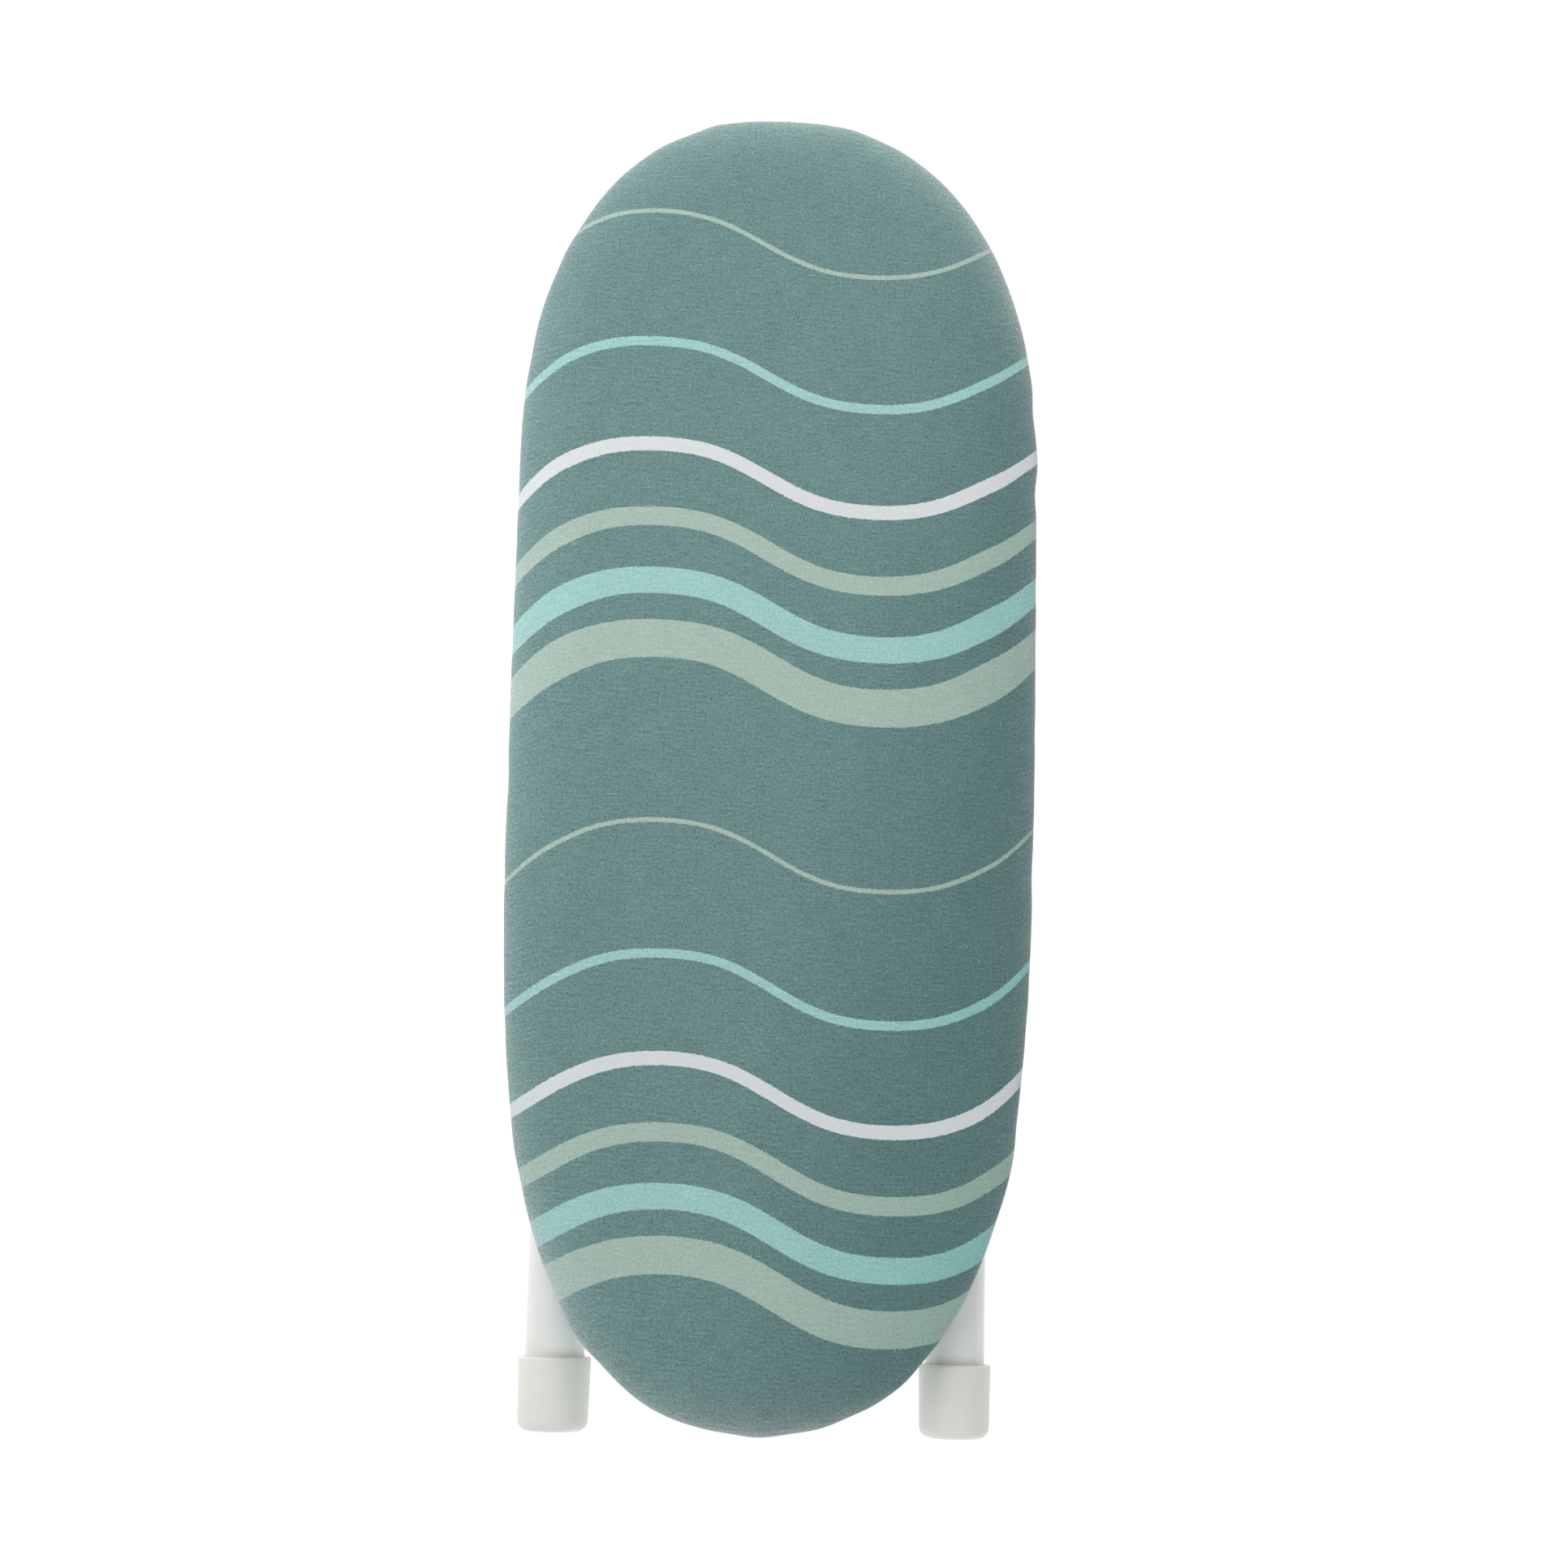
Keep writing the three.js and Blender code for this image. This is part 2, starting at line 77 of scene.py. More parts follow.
def board_edge(stations):
    """Evenly spaced points round the edge from the tail tip, their outward directions, and how
    sharply the edge curves there, in radians per metre."""
    fine = np.linspace(0, 2 * np.pi, 80 * stations + 1)
    line = oval_point(fine)
    along = np.concatenate([[0], np.cumsum(np.linalg.norm(np.diff(line, axis=0), axis=1))])
    turn = np.interp(np.arange(stations) / stations * along[-1], along, fine)
    point = oval_point(turn)
    before, after = oval_point(turn - 0.004), oval_point(turn + 0.004)
    heading = after - before
    heading /= np.linalg.norm(heading, axis=1)[:, None]
    outward = np.stack([heading[:, 1], -heading[:, 0]], 1)
    angle = np.unwrap(np.arctan2(heading[:, 1], heading[:, 0]))
    step = along[-1] / stations
    bend = (np.roll(angle, -2) - np.roll(angle, 2)) / (4 * step)
    bend[:2] = bend[2]
    bend[-2:] = bend[-3]
    kernel = np.hanning(15) / np.hanning(15).sum()
    bend = np.convolve(np.concatenate([bend[-7:], bend, bend[:7]]), kernel, "valid")
    return point, outward, bend, along[-1]


def mesh_piece(name, places, faces):
    """A mesh object at the origin from points and faces."""
    mesh = bpy.data.meshes.new(name)
    mesh.from_pydata([tuple(p) for p in places], [], [tuple(f) for f in faces])
    mesh.validate()
    mesh.update()
    piece = bpy.data.objects.new(name, mesh)
    bpy.context.scene.collection.objects.link(piece)
    return piece


def ring_faces(rings, count):
    """Faces between rings of count points each, one ring after the other."""
    first = np.arange(rings - 1)[:, None] * count
    low, side = first + np.arange(count), first + (np.arange(count) + 1) % count
    return np.stack([low, side, side + count, low + count], 2).reshape(-1, 4)


def pick(piece):
    """Makes one piece the active and only chosen one, in object mode."""
    if bpy.context.object and bpy.context.object.mode != "OBJECT":
        bpy.ops.object.mode_set(mode="OBJECT")
    bpy.ops.object.select_all(action="DESELECT")
    bpy.context.view_layer.objects.active = piece
    piece.select_set(True)


def edit(piece):
    """Edit mode on one piece, with nothing selected in it."""
    pick(piece)
    bpy.ops.object.mode_set(mode="EDIT")
    bpy.ops.mesh.select_all(action="DESELECT")


def weld(piece, gap):
    """Merges the points of a piece that lie within a gap and turns its faces outward."""
    edit(piece)
    bpy.ops.mesh.select_all(action="SELECT")
    bpy.ops.mesh.remove_doubles(threshold=gap)
    bpy.ops.mesh.normals_make_consistent(inside=False)
    bpy.ops.object.mode_set(mode="OBJECT")


def apply_modifier(piece, kind, **settings):
    """Adds a modifier with its settings and applies it."""
    pick(piece)
    modifier = piece.modifiers.new(kind.lower(), kind)
    for name, value in settings.items():
        setattr(modifier, name, value)
    bpy.ops.object.modifier_apply(modifier=modifier.name)


edge, edge_out, edge_bend, edge_length = board_edge(cover_stations)
arc_place = np.arange(cover_stations) / cover_stations * edge_length

# The padded nose stands out a little past its oval
nose_from, nose_run, nose_swell = 0.325, 0.038, 0.0026
nose_fill = np.clip((-edge[:, 1] - nose_from) / nose_run, 0, 1)
edge = edge + edge_out * (nose_swell * nose_fill ** 2 * (3 - 2 * nose_fill))[:, None]

# Spots where the draw cord pulls the side in, or where a fold of the cloth stands out:
# place on the edge, how far it goes in, and its half length
edge_pulls = [
    (0.1440, 0.198, 0.0011, 0.011), (0.1445, 0.172, -0.0005, 0.008),
    (0.1445, 0.152, 0.0008, 0.009), (0.0350, 0.361, -0.0007, 0.012),
    (-0.0400, 0.3595, -0.0009, 0.007), (-0.0560, 0.352, 0.0005, 0.010),
    (-0.1080, 0.300, 0.0005, 0.013), (-0.1300, 0.246, -0.0003, 0.012),
    (-0.1410, 0.214, 0.0003, 0.014), (-0.1440, -0.020, 0.0006, 0.016),
    (0.1430, -0.060, 0.0006, 0.018), (-0.1350, -0.215, -0.0005, 0.015),
    (-0.1000, -0.318, -0.0018, 0.016), (0.0, -0.363, -0.0013, 0.012),
    (0.0480, -0.354, 0.0010, 0.012), (0.1320, -0.225, -0.0018, 0.024),
    (0.0760, -0.338, -0.0006, 0.012), (-0.0600, -0.348, -0.0005, 0.012),
]


def pull_depth(line):
    """How far the cover is drawn in at each point of a line round the edge."""
    depth = np.zeros(len(line))
    for x, y, deepest, half_length in edge_pulls:
        away = np.hypot(line[:, 0] - x, line[:, 1] - y)
        depth += deepest * np.exp(-(away / half_length) ** 2)
    return depth


def side_share(inset, end):
    """How much of a pull reaches an inset: all of it at the side, none from the end on."""
    return min(1.0, max(0.0, (end - inset) / 0.012))


ripple = 0.00012
pull_in = pull_depth(edge) + ripple * np.sin(arc_place * 190) * np.sin(arc_place * 43 + 1.0)

top_height = 0.0616
crown_reach, crown_drop, crown_power = 0.050, 0.0080, 2.4
roll_run, side_top = 0.0125, 0.0500
turn_height, turn_radius = 0.0440, 0.0042
rim_inside = 0.0145
hem_inset = 0.0245
hem_roll = 0.0021
cloth_thickness = 0.0005
inner_inset = 0.058


def crown_height(inset):
    """Height of the pad's top: the cover's pull presses the foam down towards the edge."""
    return top_height - crown_drop * max(0.0, (crown_reach - inset) / crown_reach) ** crown_power


def crown_roll(steps):
    """The tight roll from the crowned top to the upright side, as a Bezier curve."""
    start = np.array([roll_run, crown_height(roll_run)])
    slope = (crown_height(roll_run + 0.001) - crown_height(roll_run - 0.001)) / 0.002
    end = np.array([0.0, side_top])
    start_handle = start - np.array([1.0, slope]) * 0.0072
    end_handle = end + np.array([0.0, 0.0046])
    share = np.linspace(0, 1, steps)[:, None]
    return ((1 - share) ** 3 * start + 3 * (1 - share) ** 2 * share * start_handle
            + 3 * (1 - share) * share ** 2 * end_handle + share ** 3 * end)


# Section of the cloth from the crowned top to the hem: inset from the edge and height
section = [(inset, crown_height(inset)) for inset in np.linspace(inner_inset, roll_run, 14)[:-1]]
section += [tuple(place) for place in crown_roll(9)]
section += [(0.0, 0.0480), (0.0, 0.0460), (0.0, turn_height)]
for share in (0.25, 0.5, 0.75, 1):
    turned = share * math.pi / 2
    section.append(
        (turn_radius * (1 - math.cos(turned)), turn_height - turn_radius * math.sin(turned)))
under_start = len(section) - 1
under_insets = (0.0075, 0.0105, 0.0135, 0.0165, 0.0195, 0.022, hem_inset)
section += [(inset, turn_height - turn_radius) for inset in under_insets]
section = np.array(section)
cloth_run = np.concatenate([[0], np.cumsum(np.linalg.norm(np.diff(section, axis=0), axis=1))])
flat_out = cloth_run - inner_inset

# The inner part of the top runs from the band to a shorter line down the middle of the board
middle_y, middle_share = 0.002, 0.70


def level_ring(line, height):
    """A ring of points at one height."""
    return np.column_stack([line, np.full(len(line), height)])


def inner_rings(line, outward, shares, height):
    """Rings at shares of the way from the band to the middle line, and the same laid flat."""
    start = line - inner_inset * outward
    middle = np.stack([np.zeros(len(line)), middle_y + middle_share * (line[:, 1] - middle_y)], 1)
    flats = [start + (middle - start) * share for share in shares]
    return [level_ring(flat, height) for flat in flats], flats


inner_shares = np.linspace(1, 0, 17)[:-1]
places, flat_places = inner_rings(edge, edge_out, inner_shares, top_height)

# Gathers: where the edge curves, the flat cut is longer than the hem that it is drawn into.
# Under the rim the folds can only hang down, and past the rim's lip they also rise inside it.
hem_overrun = 0.065  # about how far the flat cut reaches past the hem
fold_pitch, fold_least, fold_most = 0.0165, 0.0006, 0.0042
excess = np.clip(edge_bend * hem_overrun, 0, None) / np.clip(1 - edge_bend * hem_inset, 0.2, None)
phase = 2 * np.pi * arc_place * round(edge_length / fold_pitch) / edge_length
phase = phase + 1.1 * np.sin(phase / 7.3) + 0.8 * np.sin(phase / 3.1 + 1.0)
seam_fix = (phase[-1] + (phase[1] - phase[0])) % (2 * np.pi)
phase = phase - np.linspace(0, 1, cover_stations) * seam_fix
fold_height = np.minimum(fold_most, fold_least + 0.45 * fold_pitch / np.pi * np.sqrt(excess))
folds = np.sin(phase)
turn_inset = section[under_start, 0]
for k, ((inset, height), run) in enumerate(zip(section, flat_out)):
    at_side = side_share(inset, 0.016) if k <= under_start else 1.0
    ring = edge - edge_out * (inset + pull_in * at_side)[:, None]
    z = np.full(cover_stations, height)
    if k > under_start:
        under = (inset - turn_inset) / (hem_inset - turn_inset)
        inside = np.clip((inset - rim_inside) / (hem_inset - rim_inside), 0, 1)
        hang, rise = np.minimum(folds, 0) * (1 - inside) * 0.6, inside * (1 + folds)
        z = z + under * fold_height * (hang + rise)
        ring = ring + edge_out * (under * fold_height * 0.5 * np.sin(phase * 2 + 0.6))[:, None]
    places.append(np.column_stack([ring, z]))
    flat_places.append(edge + edge_out * run)


# The band from the side down to the hem is settled as cloth. It starts on the gathered path,
# wants to be as long as its flat cut, and is held at the side and by the cord in the hem.
def settled_band(rings, flats, frames=20, scale=10):
    """Runs the cloth and gives the rings where it comes to rest."""
    band = mesh_piece(
        "hem_band", np.concatenate(rings) * scale, ring_faces(len(rings), cover_stations))
    band.shape_key_add(name="gathered")
    cut = band.shape_key_add(name="flat_cut")
    flat = np.concatenate(flats)
    cut.data.foreach_set("co", level_ring(flat, 0).ravel() * scale)
    held = band.vertex_groups.new(name="held")
    held.add(list(range(2 * cover_stations)), 1.0, "REPLACE")
    held.add(list(range((len(rings) - 1) * cover_stations, len(flat))), 1.0, "REPLACE")
    cloth = band.modifiers.new("cloth", "CLOTH").settings
    cloth.quality = 8
    cloth.mass = 0.2
    cloth.tension_stiffness = cloth.compression_stiffness = 30
    cloth.shear_stiffness = 8
    cloth.bending_stiffness = 0.4
    cloth.air_damping = 4
    cloth.effector_weights.gravity = 0
    cloth.vertex_group_mass = "held"
    cloth.rest_shape_key = cut
    for frame_number in range(1, frames + 1):
        bpy.context.scene.frame_set(frame_number)
    result = band.evaluated_get(bpy.context.evaluated_depsgraph_get())
    settled = np.empty(3 * len(flat))
    result.data.vertices.foreach_get("co", settled)
    bpy.data.objects.remove(band)
    bpy.context.scene.frame_set(1)
    return list(settled.reshape(len(rings), cover_stations, 3) / scale)


band_top, most_moved = 0.0470, 0.004
band_first = len(inner_shares) + int(np.argmax(section[:, 1] < band_top))
band_last = len(inner_shares) + len(section) - 1
start = places[band_first:band_last + 1]
moved = settled_band(start, flat_places[band_first:band_last + 1])
for k, (before, after) in enumerate(zip(start, moved)):
    places[band_first + k] = before + np.clip(after - before, -most_moved, most_moved)

# Nothing of the cloth reaches into the rim's lip above it, the rails' ends or the folded legs
pivots = {"nose": -0.16725, "tail": 0.23025}  # where the legs turn, along the board
rail_reach, rail_inset = 0.048, 0.017
lip_ceiling, rail_ceiling, open_ceiling, legs_below = 0.0407, 0.0416, 0.0455, 0.0384
for k in range(band_first, band_last + 1):
    inset, y = section[k - len(inner_shares), 0], places[k][:, 1]
    beside_rail = np.minimum(*(abs(y - pivot_y) for pivot_y in pivots.values())) < rail_reach
    ceiling = np.where(beside_rail & (inset > rail_inset), rail_ceiling, open_ceiling)
    if inset < rim_inside:
        ceiling = lip_ceiling
    if inset > turn_radius + 0.0003:
        places[k][:, 2] = np.clip(places[k][:, 2], legs_below, ceiling)

# Rolled hem: the cloth's edge is turned into a small tunnel for the draw cord
hem_steps = 6
last_ring, last_flat = places[-1], flat_places[-1]
for step in range(1, hem_steps + 1):
    turned = step / hem_steps * 1.75 * math.pi
    ring = last_ring.copy()
    ring[:, :2] -= edge_out * hem_roll * math.sin(turned)
    ring[:, 2] += hem_roll * (1 - math.cos(turned))
    places.append(ring)
    flat_places.append(last_flat + edge_out * hem_roll * turned)

ring_count = len(places)
cover = mesh_piece(
    "striped_cover", np.concatenate(places), ring_faces(ring_count, cover_stations))


def store(piece, name, *columns):
    """Keeps three numbers for each point under a name that the shader can read."""
    kept = piece.data.attributes.new(name, "FLOAT_VECTOR", "POINT")
    kept.data.foreach_set("vector", np.column_stack(columns).ravel())


# Each point's place on the flat cut, in millimetres. Near both long sides the cloth was pulled
# askew, by shares that change along the board.
askew_most, askew_run = 14.5, 0.025
left_y = (-0.24, -0.18, -0.12, -0.05, 0.12, 0.20, 0.31)
left_shares = (0, 0.35, 0.6, 0.8, 1, 0.9, 0.2)
right_y = (-0.28, -0.24, -0.18, -0.12, 0.20, 0.31)
right_shares = (0.2, 0.38, 0.75, 1, 0.9, 0.2)
flat_points = np.concatenate(flat_places)
insets = np.concatenate([np.full(len(inner_shares), 1.0), section[:, 0], np.zeros(hem_steps)])
askew = askew_most * edge_out[:, 0] * np.where(
    edge_out[:, 0] < 0, np.interp(edge[:, 1], left_y, left_shares),
    np.interp(edge[:, 1], right_y, right_shares))
near_edge = np.repeat(np.clip(askew_run - insets, 0, askew_run), cover_stations)
flat_points[:, 1] -= near_edge ** 2 * np.tile(askew, ring_count)
nothing = np.zeros(len(flat_points))
store(cover, "cloth_place", flat_points * 1000, nothing)

# Painted highlight: a pale haze of light round the edge. By the direction that the edge faces, in
# degrees from +X: how grey its very edge is, how far that grey and how far a pale teal reach in
haze_table = np.array([
    (-180, 0.16, 0.0, 0.18), (-155, 0.30, 0.0, 0.50), (-130, 0.24, 0.04, 0.24),
    (-90, 0.34, 0.30, 0.06), (-45, 0.10, 0.0, 0.0), (-5, 0.30, 0.06, 0.0),
    (5, 0.32, 0.04, 0.14), (17, 0.70, 0.0, 0.40), (45, 0.38, 0.0, 0.46),
    (90, 0.20, 0.0, 0.40), (135, 0.16, 0.0, 0.24), (180, 0.16, 0.0, 0.18),
])
side_from, side_fade, near_fade, wide_fade = 0.0515, 0.0022, 0.0026, 0.010
facing = np.degrees(np.arctan2(edge_out[:, 1], edge_out[:, 0]))
grey_near, grey_wide, teal_wide = (
    np.tile(np.interp(facing, haze_table[:, 0], haze_table[:, k]), ring_count) for k in (1, 2, 3))
haze_insets = np.repeat(insets, cover_stations)
down = np.clip(side_from - np.concatenate(places)[:, 2], 0, None) / side_fade
near = np.exp(-haze_insets / near_fade - down)
wide = np.exp(-haze_insets / wide_fade - 0.4 * down)
store(cover, "edge_haze_light", grey_near * near + grey_wide * wide, teal_wide * wide, nothing)

weld(cover, 0.00005)
apply_modifier(cover, "SOLIDIFY", thickness=cloth_thickness, offset=-1)
bpy.ops.object.shade_smooth()


def linear(code):
    """An sRGB hex colour as the linear RGBA that the shaders take."""
    parts = [int(code[i:i + 2], 16) / 255 for i in (1, 3, 5)]
    return [c / 12.92 if c <= 0.04045 else ((c + 0.055) / 1.055) ** 2.4 for c in parts] + [1.0]


def add_node(tree, kind, inputs=(), **settings):
    """A shader node with its settings; inputs maps an input to a value or to another output."""
    made = tree.nodes.new("ShaderNode" + kind)
    for name, value in settings.items():
        setattr(made, name, value)
    for name, value in dict(inputs).items():
        if isinstance(value, bpy.types.NodeSocket):
            tree.links.new(value, made.inputs[name])
        else:
            made.inputs[name].default_value = value
    return made


def new_material(name):
    """An empty node material, and its tree."""
    material = bpy.data.materials.new(name)
    material.use_nodes = True
    material.node_tree.nodes.clear()
    return material, material.node_tree


def formula(tree, operation, *terms):
    """The output of one Math node."""
    return add_node(tree, "Math", dict(enumerate(terms)), operation=operation).outputs[0]


def product(tree, first, second, *added):
    """Two terms multiplied, with a third added where one is given."""
    return formula(tree, "MULTIPLY_ADD" if added else "MULTIPLY", first, second, *added)


def ranged(tree, value, low, high, to_low=0.0, to_high=1.0):
    """A value between low and high, moved to another range and held within it."""
    ends = {0: value, 1: low, 2: high, 3: to_low, 4: to_high}
    return add_node(tree, "MapRange", ends).outputs[0]


def noise(tree, at, scale, detail=2.0, **others):
    """The value of a noise texture."""
    inputs = {"Vector": at, "Scale": scale, "Detail": detail, **others}
    return add_node(tree, "TexNoise", inputs).outputs[0]


def stretched_noise(tree, at, scales, detail):
    """Noise with its own scale along each axis."""
    stretched = add_node(tree, "Mapping", {"Vector": at, "Scale": scales})
    return noise(tree, stretched.outputs[0], 1.0, detail)


def stored(tree, name):
    """What is stored under a name: the vector, and its first two parts."""
    vector = add_node(tree, "Attribute", attribute_name=name).outputs["Vector"]
    parts = add_node(tree, "SeparateXYZ", {0: vector}).outputs
    return vector, parts["X"], parts["Y"]


def blended(tree, factor, first, second, mode="MIX"):
    """The colour output of a Mix node."""
    return add_node(
        tree, "Mix", {0: factor, 6: first, 7: second}, data_type="RGBA", blend_type=mode,
    ).outputs[2]


def add_skin(tree, colour, roughness, relief, strength, depth, others=()):
    """The surface of a material, with relief of a strength and a depth in metres."""
    bump = add_node(tree, "Bump", {"Height": relief, "Strength": strength, "Distance": depth})
    skin = add_node(tree, "BsdfPrincipled", {
        "Base Color": colour, "Roughness": roughness, "Normal": bump.outputs[0], **dict(others)})
    add_node(tree, "OutputMaterial", {0: skin.outputs[0]})


# Reactive-printed cotton: matt, a little fuzzy, with painted shade between the threads. All lengths
# are in millimetres on the flat cut.
printed_cotton, tree = new_material("printed_plain_weave_cotton")
wave_length, wave_start, wave_lean = 245.0, -63.6, 0.0346
wave_height, wave_third, wave_growth = 18.67, -0.99, -0.000109
stripes = [  # middle at the wave's mid height, width, colour
    (288.7, 2.6, "sage"), (211.6, 5.4, "mint"), (152.0, 8.1, "white"),
    (110.4, 10.7, "sage"), (74.2, 14.8, "mint"), (41.5, 21.1, "sage"),
    (-59.5, 2.5, "sage"), (-131.9, 5.0, "mint"), (-188.3, 7.6, "white"),
    (-227.3, 10.1, "sage"), (-261.0, 13.8, "mint"), (-291.5, 19.8, "sage"),
]
stripe_inks = {  # colour, its colour with painted shade, and how much of the grain it hides
    "sage": ("#A9BEB3", "#96B1A6", 0.68), "mint": ("#A0CBC6", "#8BC1BD", 0.64),
    "white": ("#DBDEDF", "#D8DBDC", 1.11),
}
thread_pitch = 1.15  # real yarns lie 0.5 mm apart; drawn coarser so that they show
beat_length = 3.4

cloth_at, across, along = stored(tree, "cloth_place")
jagged = product(tree, noise(tree, cloth_at, 1.2), 2.0, -1.0)
drift = product(tree, noise(tree, cloth_at, 0.012, 1.0), 1.2, -0.6)


def wave_angle(at):
    """Angle of the printed wave at a point, for the stripe whose middle lies at that height."""
    leaning = product(tree, at, wave_lean, across)
    return product(tree, formula(tree, "SUBTRACT", leaning, wave_start), 2 * math.pi / wave_length)


rough_wave = product(tree, formula(tree, "COSINE", wave_angle(along)), wave_height)
middle = formula(tree, "SUBTRACT", along, rough_wave)
angle = wave_angle(middle)
triple = product(tree, angle, 3.0)
main_wave = product(tree, formula(tree, "COSINE", angle), wave_height)
wave = product(tree, formula(tree, "COSINE", triple), wave_third, main_wave)
swell = product(tree, middle, wave_growth, 1.0)
level = formula(tree, "SUBTRACT", along, product(tree, wave, swell))
level = formula(tree, "ADD", formula(tree, "ADD", level, jagged), drift)
main_slope = product(tree, formula(tree, "SINE", angle), wave_height)
slope = product(tree, formula(tree, "SINE", triple), 3 * wave_third, main_slope)
slope = product(tree, slope, 2 * math.pi / wave_length)
tilt = formula(tree, "SQRT", product(tree, slope, slope, 1.0))
masks = {}
for centre, width, colour in stripes:
    band = formula(tree, "COMPARE", level, centre, product(tree, tilt, width / 2))
    masks[colour] = formula(tree, "MAXIMUM", masks[colour], band) if colour in masks else band

# Painted shade: the ground and the stripes are coloured darker towards the right and the nose. The
# denser print of the pale stripes hides most of the grain that is shown on the ground.
low_right = product(tree, along, -0.18, across)
shade = blended(tree, ranged(tree, low_right, 20.0, 120.0), linear("#6C8C8A"), linear("#5D7D7C"))
# kept: how much of the painted shade there is, growing towards the right and the nose
kept = ranged(tree, low_right, 50.0, 170.0)
shown = 1.35
for colour, (pale, shaded_ink, hidden) in stripe_inks.items():
    ink = blended(tree, kept, linear(pale), linear(shaded_ink))
    shade = blended(tree, masks[colour], shade, ink)
    shown = product(tree, masks[colour], -hidden, shown)

# Painted highlight: the pale haze of light round the edge, grey at the very edge, pale teal further
# in
haze_grey, haze_teal = stored(tree, "edge_haze_light")[1:]
shade = blended(tree, haze_teal, shade, linear("#BDD4D1"))
shade = blended(tree, haze_grey, shade, linear("#CAC6C7"))

# Plain weave: warp and weft take turns on top, with thick and thin places along each yarn
warp, weft = (
    formula(tree, "SINE", product(tree, way, math.pi / thread_pitch)) for way in (across, along))
ribs = product(tree, formula(tree, "ABSOLUTE", weft), 0.35)
weave = product(tree, product(tree, warp, weft), 0.5, ribs)
slub = stretched_noise(tree, cloth_at, (0.09, 0.9, 1.0), 3.0)
slub_up = stretched_noise(tree, cloth_at, (0.9, 0.09, 1.0), 3.0)
yarns = product(tree, slub, 1.5, product(tree, slub_up, 0.5))
mottle = noise(tree, cloth_at, 0.035, 4.0)
grain = noise(tree, cloth_at, 0.72, 3.0, Roughness=0.8)
in_patches = ranged(tree, noise(tree, cloth_at, 0.016), 0.42, 0.62)
leaning_rows = product(tree, product(tree, across, 0.10, along), 2 * math.pi / beat_length)
beat = product(tree, formula(tree, "SINE", leaning_rows), in_patches)

# Painted shade: the cloth is coloured darker between the threads of the weave
tone = product(tree, weave, 0.075, 0.965)
for part, gain, rest in (
    (yarns, 0.30, 0.70), (grain, 1.35, 0.325), (mottle, 0.12, 0.94), (beat, 0.020, 1.0),
):
    tone = product(tree, tone, product(tree, part, gain, rest))
mean_tone = 0.982
tone = product(tree, formula(tree, "SUBTRACT", tone, mean_tone), shown, mean_tone)
shade = blended(tree, 1.0, shade, tone, "MULTIPLY")

# A few short pale fibres of lint that cling to the cloth
for scales in ((0.11, 1.7, 1.0), (1.9, 0.13, 1.0)):
    lint = stretched_noise(tree, cloth_at, scales, 1.0)
    strand = ranged(tree, lint, 0.775, 0.80, 0.0, 0.55)
    shade = blended(tree, strand, shade, linear("#D9DEDA"))

relief = product(tree, grain, 1.2, product(tree, yarns, 0.5, weave))
add_skin(tree, shade, product(tree, yarns, 0.10, 0.78), relief, 0.35, 0.00025,
         {"Sheen Weight": 0.7, "Sheen Roughness": 0.35, "Specular IOR Level": 0.25})
cover.data.materials.append(printed_cotton)

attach(cover, "board")
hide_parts("fabric_cover")

# --------------------------------------------
# Foam pad. One slab of open-cell foam, die-cut to the board's outline, with its upper edge
# pressed round by the cover. It lies loose on the deck and shows only through the deck's holes.
pad_stations = 192
pad_bottom = 0.0517
pad_skin = 0.0007  # the pad stays this far inside the cover
pad_inset = 0.0015
pad_section = [
    (0.0135, pad_bottom), (pad_inset + 0.0004, pad_bottom), (pad_inset, pad_bottom + 0.0006),
]
for inset, height in crown_roll(9)[::-1]:
    if height > pad_bottom + 0.0014:
        pad_section.append((max(pad_inset, inset + pad_skin), height - pad_skin))
pad_section += [(inset, crown_height(inset) - pad_skin) for inset in np.linspace(0.0145, 0.058, 9)]
pad_edge, pad_out = board_edge(pad_stations)[:2]
pad_pull = np.clip(pull_depth(pad_edge), 0, None)
pad_rings = inner_rings(pad_edge, pad_out, np.linspace(1, 0, 9), pad_bottom)[0]
for inset, height in pad_section:
    drawn = pad_pull * side_share(inset, 0.020)
    pad_rings.append(level_ring(pad_edge - pad_out * (inset + drawn)[:, None], height))
pad_rings += inner_rings(pad_edge, pad_out, np.linspace(0, 1, 9)[1:], top_height - pad_skin)[0]
padding = mesh_piece(
    "foam_padding", np.concatenate(pad_rings), ring_faces(len(pad_rings), pad_stations))
weld(padding, 0.00005)
bpy.ops.object.shade_smooth()


def object_place(tree):
    """The place on a piece, in metres from the part's origin."""
    return add_node(tree, "TexCoord").outputs["Object"]


# Polyether foam: dull cream, its cut face full of open pores about 0.8 mm across
open_foam, tree = new_material("open_cell_polyether_foam")
inside = object_place(tree)
pores = add_node(
    tree, "TexVoronoi", {"Vector": inside, "Scale": 1250.0}, feature="DISTANCE_TO_EDGE")
pit = ranged(tree, pores.outputs["Distance"], 0.0, 0.35, 1.0, 0.0)
tone = blended(tree, noise(tree, inside, 60.0, 4.0), linear("#E9E1CC"), linear("#DCD2B8"))
# Painted shade: the insides of the pores are coloured darker
tone = blended(tree, pit, linear("#B9AE93"), tone)
add_skin(tree, tone, 0.95, pit, 0.6, 0.0004, {"Specular IOR Level": 0.15})
padding.data.materials.append(open_foam)
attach(padding, "board")
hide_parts("foam_pad")

# --------------------------------------------
# Deck. Sheet steel cut to the oval and punched with staggered rows of round steam holes, their
# edges rolled by the punch, then coated with the rails in one light grey powder.
deck_bottom, deck_top = 0.0506, 0.0514
deck_inset = 0.0015
hole_radius, hole_pitch, hole_margin = 0.0075, 0.042, 0.033
last_row_y = 0.365
edge_roll = 0.00025


